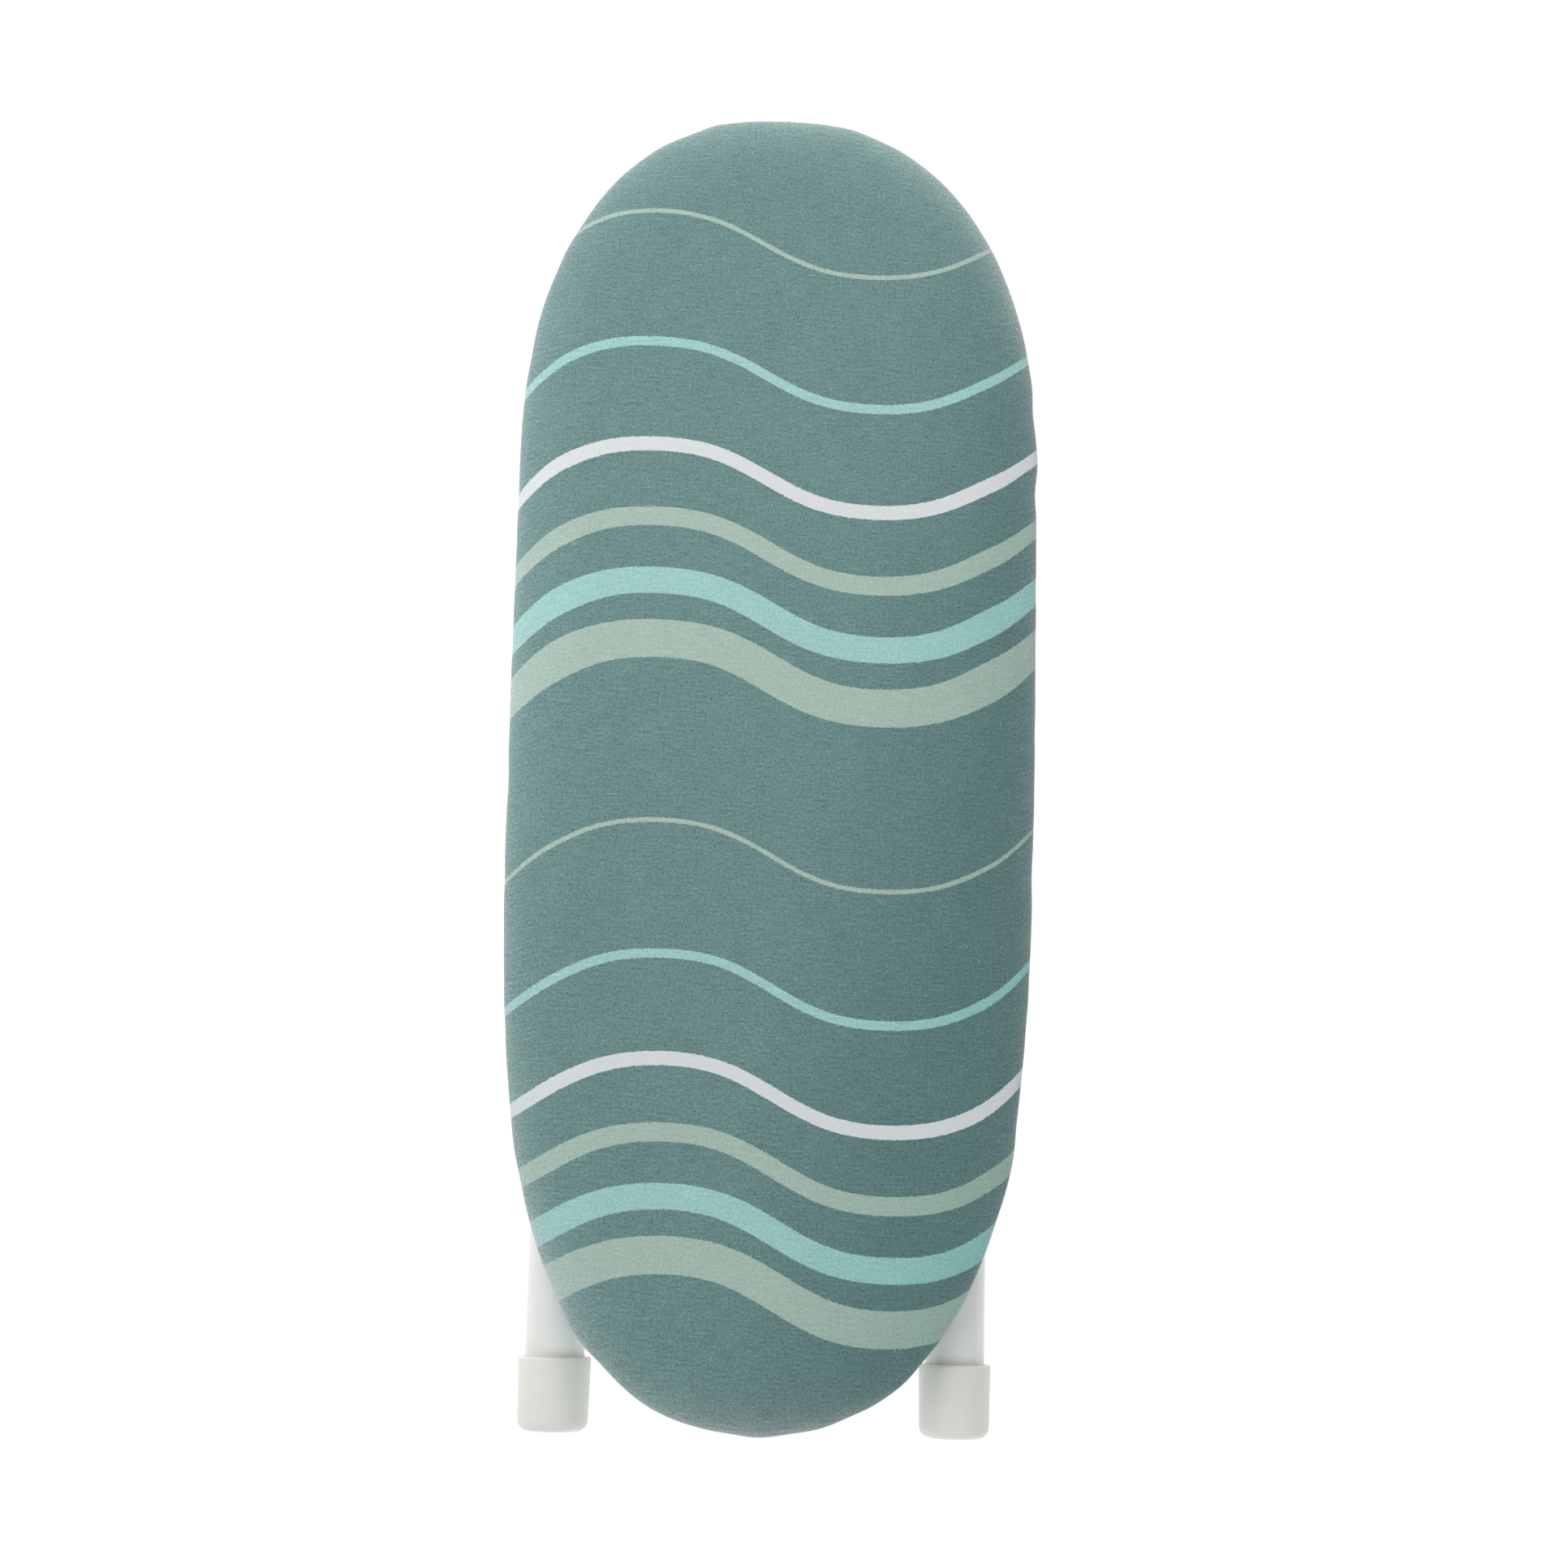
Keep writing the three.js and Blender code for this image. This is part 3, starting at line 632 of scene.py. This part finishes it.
def half_width_at(y):
    """Half the board's width at a place along it."""
    oval = tail_oval if y >= widest_y else nose_oval
    share = min(1.0, abs(y - widest_y) / oval["reach"])
    return half_width * (1 - share ** oval["reach_power"]) ** (1 / oval["width_power"])


def closed_line(curve, x, y):
    """Adds a closed outline to a flat curve."""
    line = curve.splines.new("POLY")
    line.points.add(len(x) - 1)
    points = np.column_stack([x, y, np.zeros(len(x)), np.ones(len(x))])
    line.points.foreach_set("co", points.ravel())
    line.use_cyclic_u = True


plate = bpy.data.curves.new("deck_plate", "CURVE")
plate.dimensions = "2D"
plate.fill_mode = "BOTH"
plate.extrude = (deck_top - deck_bottom) / 2 - edge_roll
plate.bevel_depth = edge_roll
plate.bevel_resolution = 1
plate.offset = -edge_roll
closed_line(plate, *(pad_edge - pad_out * deck_inset).T)
hole_turn = np.linspace(0, 2 * np.pi, 25)[:-1]
row_pitch = hole_pitch * math.sqrt(3) / 2
rows = int((last_row_y - hole_margin) / row_pitch)
for row in range(-rows, rows + 1):
    y = row * row_pitch
    reach = half_width_at(y) - hole_margin
    start = 0 if row % 2 == 0 else hole_pitch / 2
    x = start - hole_pitch * math.floor((reach + start) / hole_pitch)
    while x <= reach:
        closed_line(
            plate, x + hole_radius * np.cos(hole_turn), y - hole_radius * np.sin(hole_turn))
        x += hole_pitch
deck = bpy.data.objects.new("perforated_deck", plate)
bpy.context.scene.collection.objects.link(deck)
deck.location = (0, 0, (deck_top + deck_bottom) / 2)
pick(deck)
bpy.ops.object.convert(target="MESH")
bpy.ops.object.transform_apply()
weld(deck, 0.00002)
bpy.ops.object.shade_smooth_by_angle(angle=math.radians(40))

# Polyester powder coat on steel: even satin skin with an orange peel of 1.4 mm and a few dull rubs
grey_coat, tree = new_material("light_grey_powder_coat_on_steel")
inside = object_place(tree)
film = noise(tree, inside, 18.0, 4.0)
rubs = ranged(tree, stretched_noise(tree, inside, (60.0, 900.0, 300.0), 5.0), 0.62, 0.75)
tone = blended(tree, film, linear("#C9CBC9"), linear("#BEC1C0"))
tone = blended(tree, rubs, tone, linear("#D5D6D4"))
gloss = ranged(tree, film, 0.0, 1.0, 0.36, 0.50)
add_skin(tree, tone, gloss, noise(tree, inside, 700.0), 0.12, 0.0004)
deck.data.materials.append(grey_coat)
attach(deck, "board")
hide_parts("deck_sheet")

# --------------------------------------------
# Rim channel. A strip of sheet steel rolled to a C and bent round the deck, which is tacked to
# its upper lip. The hem of the cover is drawn round it, so only its inner side shows.
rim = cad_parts["rim_channel"]
rim.data.materials.clear()
rim.data.materials.append(grey_coat)

# --------------------------------------------
# Rails. Two hat-section cross rails carry the bearings and a narrower spine joins them. Each is
# folded from one strip of sheet, drilled where the saddle screws go, and tacked under the deck.
rail_sheet, rail_top = 0.0012, 0.0503
rail_fold = 0.0016
cross_crown, cross_flange = 0.060, 0.010
saddle_x, screw_y = 0.044, 0.0228
screw_hole = 0.0028
same_place = 1e-5


def choose_edges(piece, test):
    """Selects the edges of the piece in edit mode whose two end points pass a test."""
    bpy.ops.mesh.select_mode(type="EDGE")
    bpy.ops.mesh.select_all(action="DESELECT")
    bpy.ops.object.mode_set(mode="OBJECT")
    points = piece.data.vertices
    for line in piece.data.edges:
        line.select = bool(test(*(points[i].co for i in line.vertices)))
    bpy.ops.object.mode_set(mode="EDIT")


def combine(piece, tool, operation):
    """Cuts, joins or keeps with a second body, which is then gone."""
    apply_modifier(piece, "BOOLEAN", object=tool, operation=operation, solver="EXACT")
    bpy.data.objects.remove(tool)


def soften(piece, width, segments=2, angle=35):
    """Rounds the sharp edges and shades the piece smooth between them."""
    apply_modifier(
        piece, "BEVEL", width=width, segments=segments, limit_method="ANGLE",
        angle_limit=math.radians(angle), harden_normals=False,
    )
    bpy.ops.object.shade_smooth_by_angle(angle=math.radians(angle))


def drill(piece, x, y, z, radius, depth=0.1, sides=24, turned=(0, 0, 0)):
    """Drills a round hole, upright unless it is turned."""
    bpy.ops.mesh.primitive_cylinder_add(
        vertices=sides, radius=radius, depth=depth, location=(x, y, z), rotation=turned)
    combine(piece, bpy.context.object, "DIFFERENCE")


def draw_out(step):
    """Extrudes the chosen edges by a step."""
    bpy.ops.mesh.extrude_edges_move(TRANSFORM_OT_translate={"value": step})


def folded_rail(name, crown, depth, flange, start, end, lengthwise):
    """A hat-section rail: one flange laid as a strip, each further strip pulled from its edge."""
    half, t = crown / 2, rail_sheet
    low, high = rail_top - depth + t / 2, rail_top - t / 2
    path = [(-half - flange, high), (-half + t / 2, high), (-half + t / 2, low),
            (half - t / 2, low), (half - t / 2, high), (half + flange, high)]
    flange_from, flange_to = path[0][0], path[1][0]
    bpy.ops.mesh.primitive_plane_add(size=1, location=(0, (flange_to + flange_from) / 2, high))
    rail = bpy.context.object
    rail.name = name
    rail.scale = (end - start, flange_to - flange_from, 1)
    bpy.ops.object.transform_apply()
    edit(rail)
    choose_edges(rail, lambda a, b: min(a.y, b.y) > flange_to - same_place)
    for (y0, z0), (y1, z1) in zip(path[1:], path[2:]):
        draw_out((0, y1 - y0, z1 - z0))
    bpy.ops.mesh.select_all(action="SELECT")
    bpy.ops.mesh.normals_make_consistent(inside=False)
    bpy.ops.object.mode_set(mode="OBJECT")
    apply_modifier(
        rail, "BEVEL", width=rail_fold, segments=4, limit_method="ANGLE", angle_limit=0.6)
    apply_modifier(rail, "SOLIDIFY", thickness=t, offset=0)
    rail.location = ((start + end) / 2, 0, 0)
    if lengthwise:
        rail.rotation_euler = (0, 0, math.pi / 2)
        rail.location = (0, (start + end) / 2, 0)
    bpy.ops.object.transform_apply()
    return rail


for end_name, pivot_y in pivots.items():
    reach = min(half_width_at(pivot_y - 0.04), half_width_at(pivot_y + 0.04)) - 0.018
    rail = folded_rail(
        f"{end_name}_bearing_rail", cross_crown, 0.008, cross_flange, -reach, reach, False)
    rail.location = (0, pivot_y, 0)
    bpy.ops.object.transform_apply()
    for x in (-saddle_x, saddle_x):
        for y in (-screw_y, screw_y):
            drill(rail, x, pivot_y + y, 0.0429, screw_hole, depth=0.006)
    soften(rail, 0.0002, 1)
    rail.data.materials.append(grey_coat)
    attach(rail, "board")
    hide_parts(f"{end_name}_cross_rail")

spine_gap = cross_crown / 2 + cross_flange + 0.0003
spine_rail = folded_rail(
    "board_spine_rail", 0.026, 0.006, 0.009,
    pivots["nose"] + spine_gap, pivots["tail"] - spine_gap, True)
soften(spine_rail, 0.0002, 1)
spine_rail.data.materials.append(grey_coat)
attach(spine_rail, "board")
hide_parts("spine_rail")

# --------------------------------------------
# Saddles. The upper half of each bearing, moulded in grey nylon with hollowed sides, in which
# the crossbar of a leg frame turns. Two screws pull it up against the cross rail.
saddle_length, saddle_width, saddle_top = 0.022, 0.058, 0.0420
axis_height, channel_radius, half_gap = 0.0195, 0.0163, 0.00015
saddle_shoulder, panel_depth = 0.005, 0.0016
crosswise = (0, math.pi / 2, 0)

# Polyamide from a spark-eroded mould: dense mid sheen with a fine matt grain of about 0.3 mm
grey_nylon, tree = new_material("grey_moulded_nylon")
inside = object_place(tree)
grain = noise(tree, inside, 2600.0)
flow = noise(tree, inside, 45.0, 3.0, Distortion=0.6)
tone = blended(tree, flow, linear("#AEB2AF"), linear("#A3A8A6"))
gloss = ranged(tree, grain, 0.0, 1.0, 0.42, 0.58)
add_skin(tree, tone, gloss, grain, 0.25, 0.0002, {"IOR": 1.53})


def block(size, place):
    """A box of a size about a place, its scale already in its mesh."""
    bpy.ops.mesh.primitive_cube_add(size=1, location=place)
    made = bpy.context.object
    made.scale = size
    bpy.ops.object.transform_apply()
    return made


def hollow_sides(piece, border):
    """Sinks a panel into both ends of a moulded block, leaving a border."""
    edit(piece)
    bpy.ops.mesh.select_mode(type="FACE")
    bpy.ops.object.mode_set(mode="OBJECT")
    for face in piece.data.polygons:
        face.select = abs(face.normal.x) > 0.99 and face.area > 5e-5
    bpy.ops.object.mode_set(mode="EDIT")
    bpy.ops.mesh.inset(
        thickness=border, depth=-panel_depth, use_individual=True, use_even_offset=True)
    bpy.ops.object.mode_set(mode="OBJECT")


def copied(piece, name, shift):
    """A copy with its own mesh, moved by a shift."""
    twin = bpy.data.objects.new(name, piece.data.copy())
    bpy.context.scene.collection.objects.link(twin)
    for point in twin.data.vertices:
        point.co = [a + b for a, b in zip(point.co, shift)]
    return twin


def fit_all(master, name, node, x, height=0, steps=(("", 0),), body=None):
    """Copies a fitting to the left and right of both pivots, and there to each step along the
    board. It rides on the body given, or on the leg frame of its end. The master then goes."""
    for end_name, pivot_y in pivots.items():
        for side_name, side in (("left", -1), ("right", 1)):
            for step_name, step in steps:
                ending = side_name + step_name
                shift = (side * x, pivot_y + step, height)
                fitting = copied(master, f"{end_name}_{name}_{ending}", shift)
                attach(fitting, body or f"{end_name}_legs")
                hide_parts(f"{end_name}_{node}_{ending}")
    bpy.data.objects.remove(master)


saddle_foot = axis_height + half_gap
saddle = block(
    (saddle_length, saddle_width, saddle_top - saddle_foot), (0, 0, (saddle_top + saddle_foot) / 2))
edit(saddle)
choose_edges(
    saddle, lambda a, b: min(a.z, b.z) > saddle_top - same_place and abs(a.x - b.x) > 0.01)
bpy.ops.mesh.bevel(offset=saddle_shoulder, segments=1)
bpy.ops.object.mode_set(mode="OBJECT")
drill(saddle, 0, 0, saddle_foot, channel_radius, sides=64, turned=crosswise)
hollow_sides(saddle, 0.0024)
for y in (-screw_y, screw_y):
    drill(saddle, 0, y, 0.03, screw_hole)
soften(saddle, 0.0004)
saddle.data.materials.append(grey_nylon)
fit_all(saddle, "bearing_saddle", "saddle", saddle_x, body="board")

# --------------------------------------------
# Keepers. The lower half of each bearing, in the same grey nylon, with an ear on each side for
# its screw and a flat foot on which the folded board lies.
ear_height, foot_width, ear_inside = 0.0085, 0.022, 0.0177
keeper_top = axis_height - half_gap
ear_bottom = keeper_top - ear_height
slope_in, slope_up = ear_inside - foot_width / 2, ear_bottom
steep = math.hypot(slope_in, slope_up)
keeper = block((saddle_length, 2 * ear_inside, keeper_top), (0, 0, keeper_top / 2))
edit(keeper)
for side in (-1, 1):
    bpy.ops.mesh.select_all(action="SELECT")
    bpy.ops.mesh.bisect(
        plane_co=(0, side * ear_inside, ear_bottom),
        plane_no=(0, side * slope_up / steep, -slope_in / steep),
        use_fill=True, clear_outer=True,
    )
bpy.ops.object.mode_set(mode="OBJECT")
ears = block((saddle_length, saddle_width, ear_height), (0, 0, keeper_top - ear_height / 2))
combine(keeper, ears, "UNION")
drill(keeper, 0, 0, keeper_top, channel_radius, sides=64, turned=crosswise)
edit(keeper)
bpy.ops.mesh.select_all(action="SELECT")
bpy.ops.mesh.dissolve_limited(angle_limit=math.radians(2))
bpy.ops.object.mode_set(mode="OBJECT")
hollow_sides(keeper, 0.0022)
for y in (-screw_y, screw_y):
    drill(keeper, 0, y, 0.015, screw_hole)
soften(keeper, 0.0004)
keeper.data.materials.append(grey_nylon)
fit_all(keeper, "bearing_keeper", "keeper", saddle_x, body="board")

# --------------------------------------------
# Saddle screws. Zinc-plated pan-head screws with a cross recess, driven up through keeper and
# saddle into the cross rail, eight in all.

# Bright zinc: cool and shiny, with fine turning rings and faint cloudy patches
zinc_plate, tree = new_material("bright_zinc_plated_steel")
inside = object_place(tree)
clouds = noise(tree, inside, 350.0, 4.0)
tone = blended(tree, clouds, linear("#D2D6D8"), linear("#B9BFC4"))
gloss = ranged(tree, clouds, 0.0, 1.0, 0.22, 0.42)
add_skin(tree, tone, gloss, noise(tree, inside, 4000.0), 0.1, 0.0001, {"Metallic": 1.0})


def turned_piece(name, profile, sides):
    """A body of revolution about the Z axis: a disc, then drawn out and resized step by step."""
    radius, height = profile[0]
    bpy.ops.mesh.primitive_circle_add(
        vertices=sides, radius=radius, fill_type="NGON", location=(0, 0, height))
    made = bpy.context.object
    made.name = name
    bpy.ops.object.transform_apply()
    edit(made)
    bpy.ops.mesh.select_all(action="SELECT")
    for new_radius, new_height in profile[1:]:
        step = {"value": (0, 0, new_height - height)}
        bpy.ops.mesh.extrude_region_move(TRANSFORM_OT_translate=step)
        scale = new_radius / radius
        bpy.ops.transform.resize(value=(scale, scale, 1))
        radius, height = new_radius, new_height
    weld(made, 0.00001)
    return made


seat = ear_bottom - 0.0003
screw_tip = 0.0423 + rail_sheet + 0.004
screw_profile = [
    (0.0026, seat - 0.0032), (0.0036, seat - 0.00295), (0.0044, seat - 0.0023),
    (0.0048, seat - 0.0013), (0.0048, seat), (0.0025, seat), (0.0025, screw_tip - 0.0025),
    (0.0012, screw_tip),
]
screw = turned_piece("screw", screw_profile, 24)
for size in ((0.0046, 0.0011, 0.0036), (0.0011, 0.0046, 0.0036)):
    combine(screw, block(size, (0, 0, seat - 0.0032)), "DIFFERENCE")
soften(screw, 0.00012, 1, 40)
screw.data.materials.append(zinc_plate)
fit_all(screw, "pan_screw", "screw", saddle_x,
        steps=(("_front", -screw_y), ("_back", screw_y)), body="board")

# --------------------------------------------
# Leg frames. One steel tube each, bent cold to a U on a 40 mm former and coated white. Its
# crossbar turns in the bearings and its two legs end in the foot caps.
tube_radius, tube_wall, bend_radius = 0.016, 0.0012, 0.040
leg_x, leg_reach, foot_floor = 0.108, 0.200, 0.004


def dusted(tree, at, colour, scale, core, rim, strength, dust_colour):
    """A colour with specks of dust on it, solid to their core and gone at their rim."""
    dust = add_node(tree, "TexVoronoi", {"Vector": at, "Scale": scale})
    speck = ranged(tree, dust.outputs["Distance"], core, rim, 1.0, 0.0)
    return blended(tree, product(tree, speck, strength), colour, linear(dust_colour))


# Polyester powder: warm-grey white, satin, with an orange peel of about 1.2 mm
white_coat, tree = new_material("white_powder_coat_on_steel")
inside = object_place(tree)
film = noise(tree, inside, 22.0, 4.0)
tone = blended(tree, film, linear("#EFEFEB"), linear("#E9E9E6"))
tone = dusted(tree, inside, tone, 210.0, 0.05, 0.09, 0.35, "#A9ACA8")
gloss = ranged(tree, film, 0.0, 1.0, 0.24, 0.36)
add_skin(tree, tone, gloss, noise(tree, inside, 820.0), 0.10, 0.0003,
         {"Coat Weight": 0.25, "Coat Roughness": 0.18})

tube_end = leg_reach - foot_floor - 0.0003
straight, corner_x = tube_end - bend_radius, leg_x - bend_radius
quarter_bend = {"steps": 18, "angle": math.pi / 2, "axis": (0, 0, 1)}
bpy.ops.mesh.primitive_circle_add(
    vertices=48, radius=tube_radius, fill_type="NOTHING",
    location=(-leg_x, -tube_end, axis_height), rotation=(math.pi / 2, 0, 0),
)
legs = bpy.context.object
bpy.ops.object.transform_apply()
edit(legs)
bpy.ops.mesh.select_all(action="SELECT")
draw_out((0, straight, 0))
bpy.ops.mesh.spin(center=(-corner_x, -bend_radius, axis_height), **quarter_bend)
draw_out((2 * corner_x, 0, 0))
bpy.ops.mesh.spin(center=(corner_x, -bend_radius, axis_height), **quarter_bend)
draw_out((0, -straight, 0))
weld(legs, 0.00001)
apply_modifier(legs, "SOLIDIFY", thickness=tube_wall, offset=-1)
soften(legs, 0.0004, 2, 50)
legs.data.materials.append(white_coat)
for end_name, pivot_y in pivots.items():
    bent = copied(legs, f"{end_name}_bent_tube_legs", (0, pivot_y, 0))
    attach(bent, f"{end_name}_legs")
    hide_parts(f"{end_name}_leg_frame")
bpy.data.objects.remove(legs)

# --------------------------------------------
# Foot caps. Cream polypropylene cups pushed over the tube ends: a rounded floor, walls that
# open slightly towards the mouth, and a small rolled lip round the tube.
foot_radius, foot_length, mouth_radius = 0.0195, 0.039, 0.0163
floor_radius, corner = foot_radius - 0.0006, 0.006

# Polypropylene: waxy soft sheen, faint flow clouds, and a grain of about 0.4 mm
cream_plastic, tree = new_material("cream_moulded_polypropylene")
inside = object_place(tree)
grain = noise(tree, inside, 1900.0)
flow = noise(tree, inside, 30.0, 3.0, Distortion=0.8)
tone = blended(tree, flow, linear("#EAE9E3"), linear("#E4E3DC"))
tone = dusted(tree, inside, tone, 120.0, 0.03, 0.055, 0.4, "#8F8D86")
gloss = ranged(tree, grain, 0.0, 1.0, 0.36, 0.48)
add_skin(tree, tone, gloss, grain, 0.12, 0.0002,
         {"IOR": 1.49, "Subsurface Weight": 0.12, "Subsurface Scale": 0.004})

cap_profile = [(floor_radius - corner - 0.0035, 0.0), (floor_radius - corner, 0.00004)]
for share in np.linspace(0, 1, 9)[1:]:
    turned = share * math.pi / 2
    cap_profile.append(
        (floor_radius - corner * (1 - math.sin(turned)), corner * (1 - math.cos(turned))))
cap_profile += [
    (foot_radius - 0.0001, foot_length - 0.0042), (foot_radius, foot_length - 0.0016),
    (foot_radius - 0.00015, foot_length - 0.0007), (foot_radius - 0.0006, foot_length - 0.00015),
    (foot_radius - 0.0012, foot_length), (mouth_radius + 0.0011, foot_length),
    (mouth_radius + 0.0005, foot_length - 0.0003), (mouth_radius, foot_length - 0.0011),
    (mouth_radius, foot_floor), (mouth_radius - 0.001, foot_floor),
]
cap = turned_piece("cap", cap_profile, 64)
cap.rotation_euler = (-math.pi / 2, 0, 0)
bpy.ops.object.transform_apply()
bpy.ops.object.shade_smooth_by_angle(angle=math.radians(40))
cap.data.materials.append(cream_plastic)
fit_all(cap, "foot_cup", "foot_cap", leg_x, axis_height, (("", -leg_reach),))

# --------------------------------------------
# Stop collars. Steel rings fixed on the crossbar just inside the bearings, each with a lug that
# swings up against the cross rail and stops the legs a little past upright.
collar_x, collar_length, collar_wall = 0.0266, 0.012, 0.0024
lug_thickness, lug_reach, lug_drop = 0.004, 0.02579, 40
bpy.ops.mesh.primitive_cylinder_add(
    vertices=64, radius=channel_radius + collar_wall, depth=collar_length, rotation=crosswise)
collar = bpy.context.object
bpy.ops.object.transform_apply()
lug = block((collar_length, lug_reach, lug_thickness), (0, lug_reach / 2, 0))
edit(lug)
choose_edges(
    lug, lambda a, b: min(a.y, b.y) > lug_reach - same_place and abs(a.z - b.z) > 0.001)
bpy.ops.mesh.bevel(offset=0.003, segments=4)
bpy.ops.object.mode_set(mode="OBJECT")
lug.rotation_euler = (-math.radians(lug_drop), 0, 0)
bpy.ops.object.transform_apply()
combine(collar, lug, "UNION")
drill(collar, 0, 0, 0, channel_radius, sides=64, turned=crosswise)
soften(collar, 0.0004)
collar.data.materials.append(grey_coat)
fit_all(collar, "lug_collar", "stop_collar", collar_x, axis_height)

# --------------------------------------------
# Floor and light. A plain pale sweep of paper under soft studio light that comes mostly from
# the upper left, strong enough to leave almost no shadow. It lies where the open legs stand, so
# the folded board hangs over it. The photo shows no shadow of contact either.
open_legs_floor, floor_size = -0.182, 60.0
bpy.ops.mesh.primitive_plane_add(size=floor_size, location=(0, 0, open_legs_floor))
floor = bpy.context.object
floor.name = "paper_floor"
paper, tree = new_material("matt_white_paper")
pale = ranged(tree, noise(tree, object_place(tree), 900.0, 3.0), 0.0, 1.0, 0.985, 1.0)
tint = blended(tree, 1.0, linear("#ABABAB"), pale, "MULTIPLY")
sheet_skin = add_node(tree, "BsdfPrincipled", {
    "Base Color": tint, "Roughness": 0.9, "Specular IOR Level": 0.1,
    "Emission Color": (1, 1, 1, 1), "Emission Strength": 0.77,
})
# One-sided, so that the underside of the board can be looked at from below the floor
below = add_node(tree, "NewGeometry").outputs["Backfacing"]
see_through = add_node(tree, "BsdfTransparent")
either = add_node(
    tree, "MixShader", {0: below, 1: sheet_skin.outputs[0], 2: see_through.outputs[0]})
add_node(tree, "OutputMaterial", {0: either.outputs[0]})
floor.data.materials.append(paper)

# The room: white walls, brighter towards the left and the tail
studio = bpy.data.worlds.new("soft_studio")
bpy.context.scene.world = studio
studio.use_nodes = True
walls = studio.node_tree
towards = add_node(walls, "SeparateXYZ", {0: add_node(walls, "TexCoord").outputs["Generated"]})
wall_light = product(walls, towards.outputs["X"], -0.15, 0.460)
wall_light = product(walls, towards.outputs["Y"], 0.12, wall_light)
walls.links.new(wall_light, walls.nodes["Background"].inputs["Strength"])
walls.nodes["Background"].inputs["Color"].default_value = (1, 1, 1, 1)
for name, place, size, power, red in (
    ("key_strip", (-0.62, 0.15, 0.50), (0.25, 1.30), 3.35, 1.0),
    ("tail_softbox", (0.10, 1.15, 0.60), (0.90, 0.50), 6.4, 1.0),
    ("fill_softbox", (0.25, -1.30, 0.85), (1.20, 0.80), 6.2, 0.90),
):
    bpy.ops.object.light_add(type="AREA", location=place)
    lamp = bpy.context.object
    lamp.name = name
    lamp.data.shape = "RECTANGLE"
    lamp.data.size, lamp.data.size_y = size
    lamp.data.energy = power
    lamp.data.color = (red, 1.0, 1.0)
    aim = -lamp.location
    if name == "key_strip":  # it stands along the whole board
        aim.y = 0
    lamp.rotation_euler = aim.to_track_quat("-Z", "Y").to_euler()
bpy.context.scene.view_settings.view_transform = "Standard"
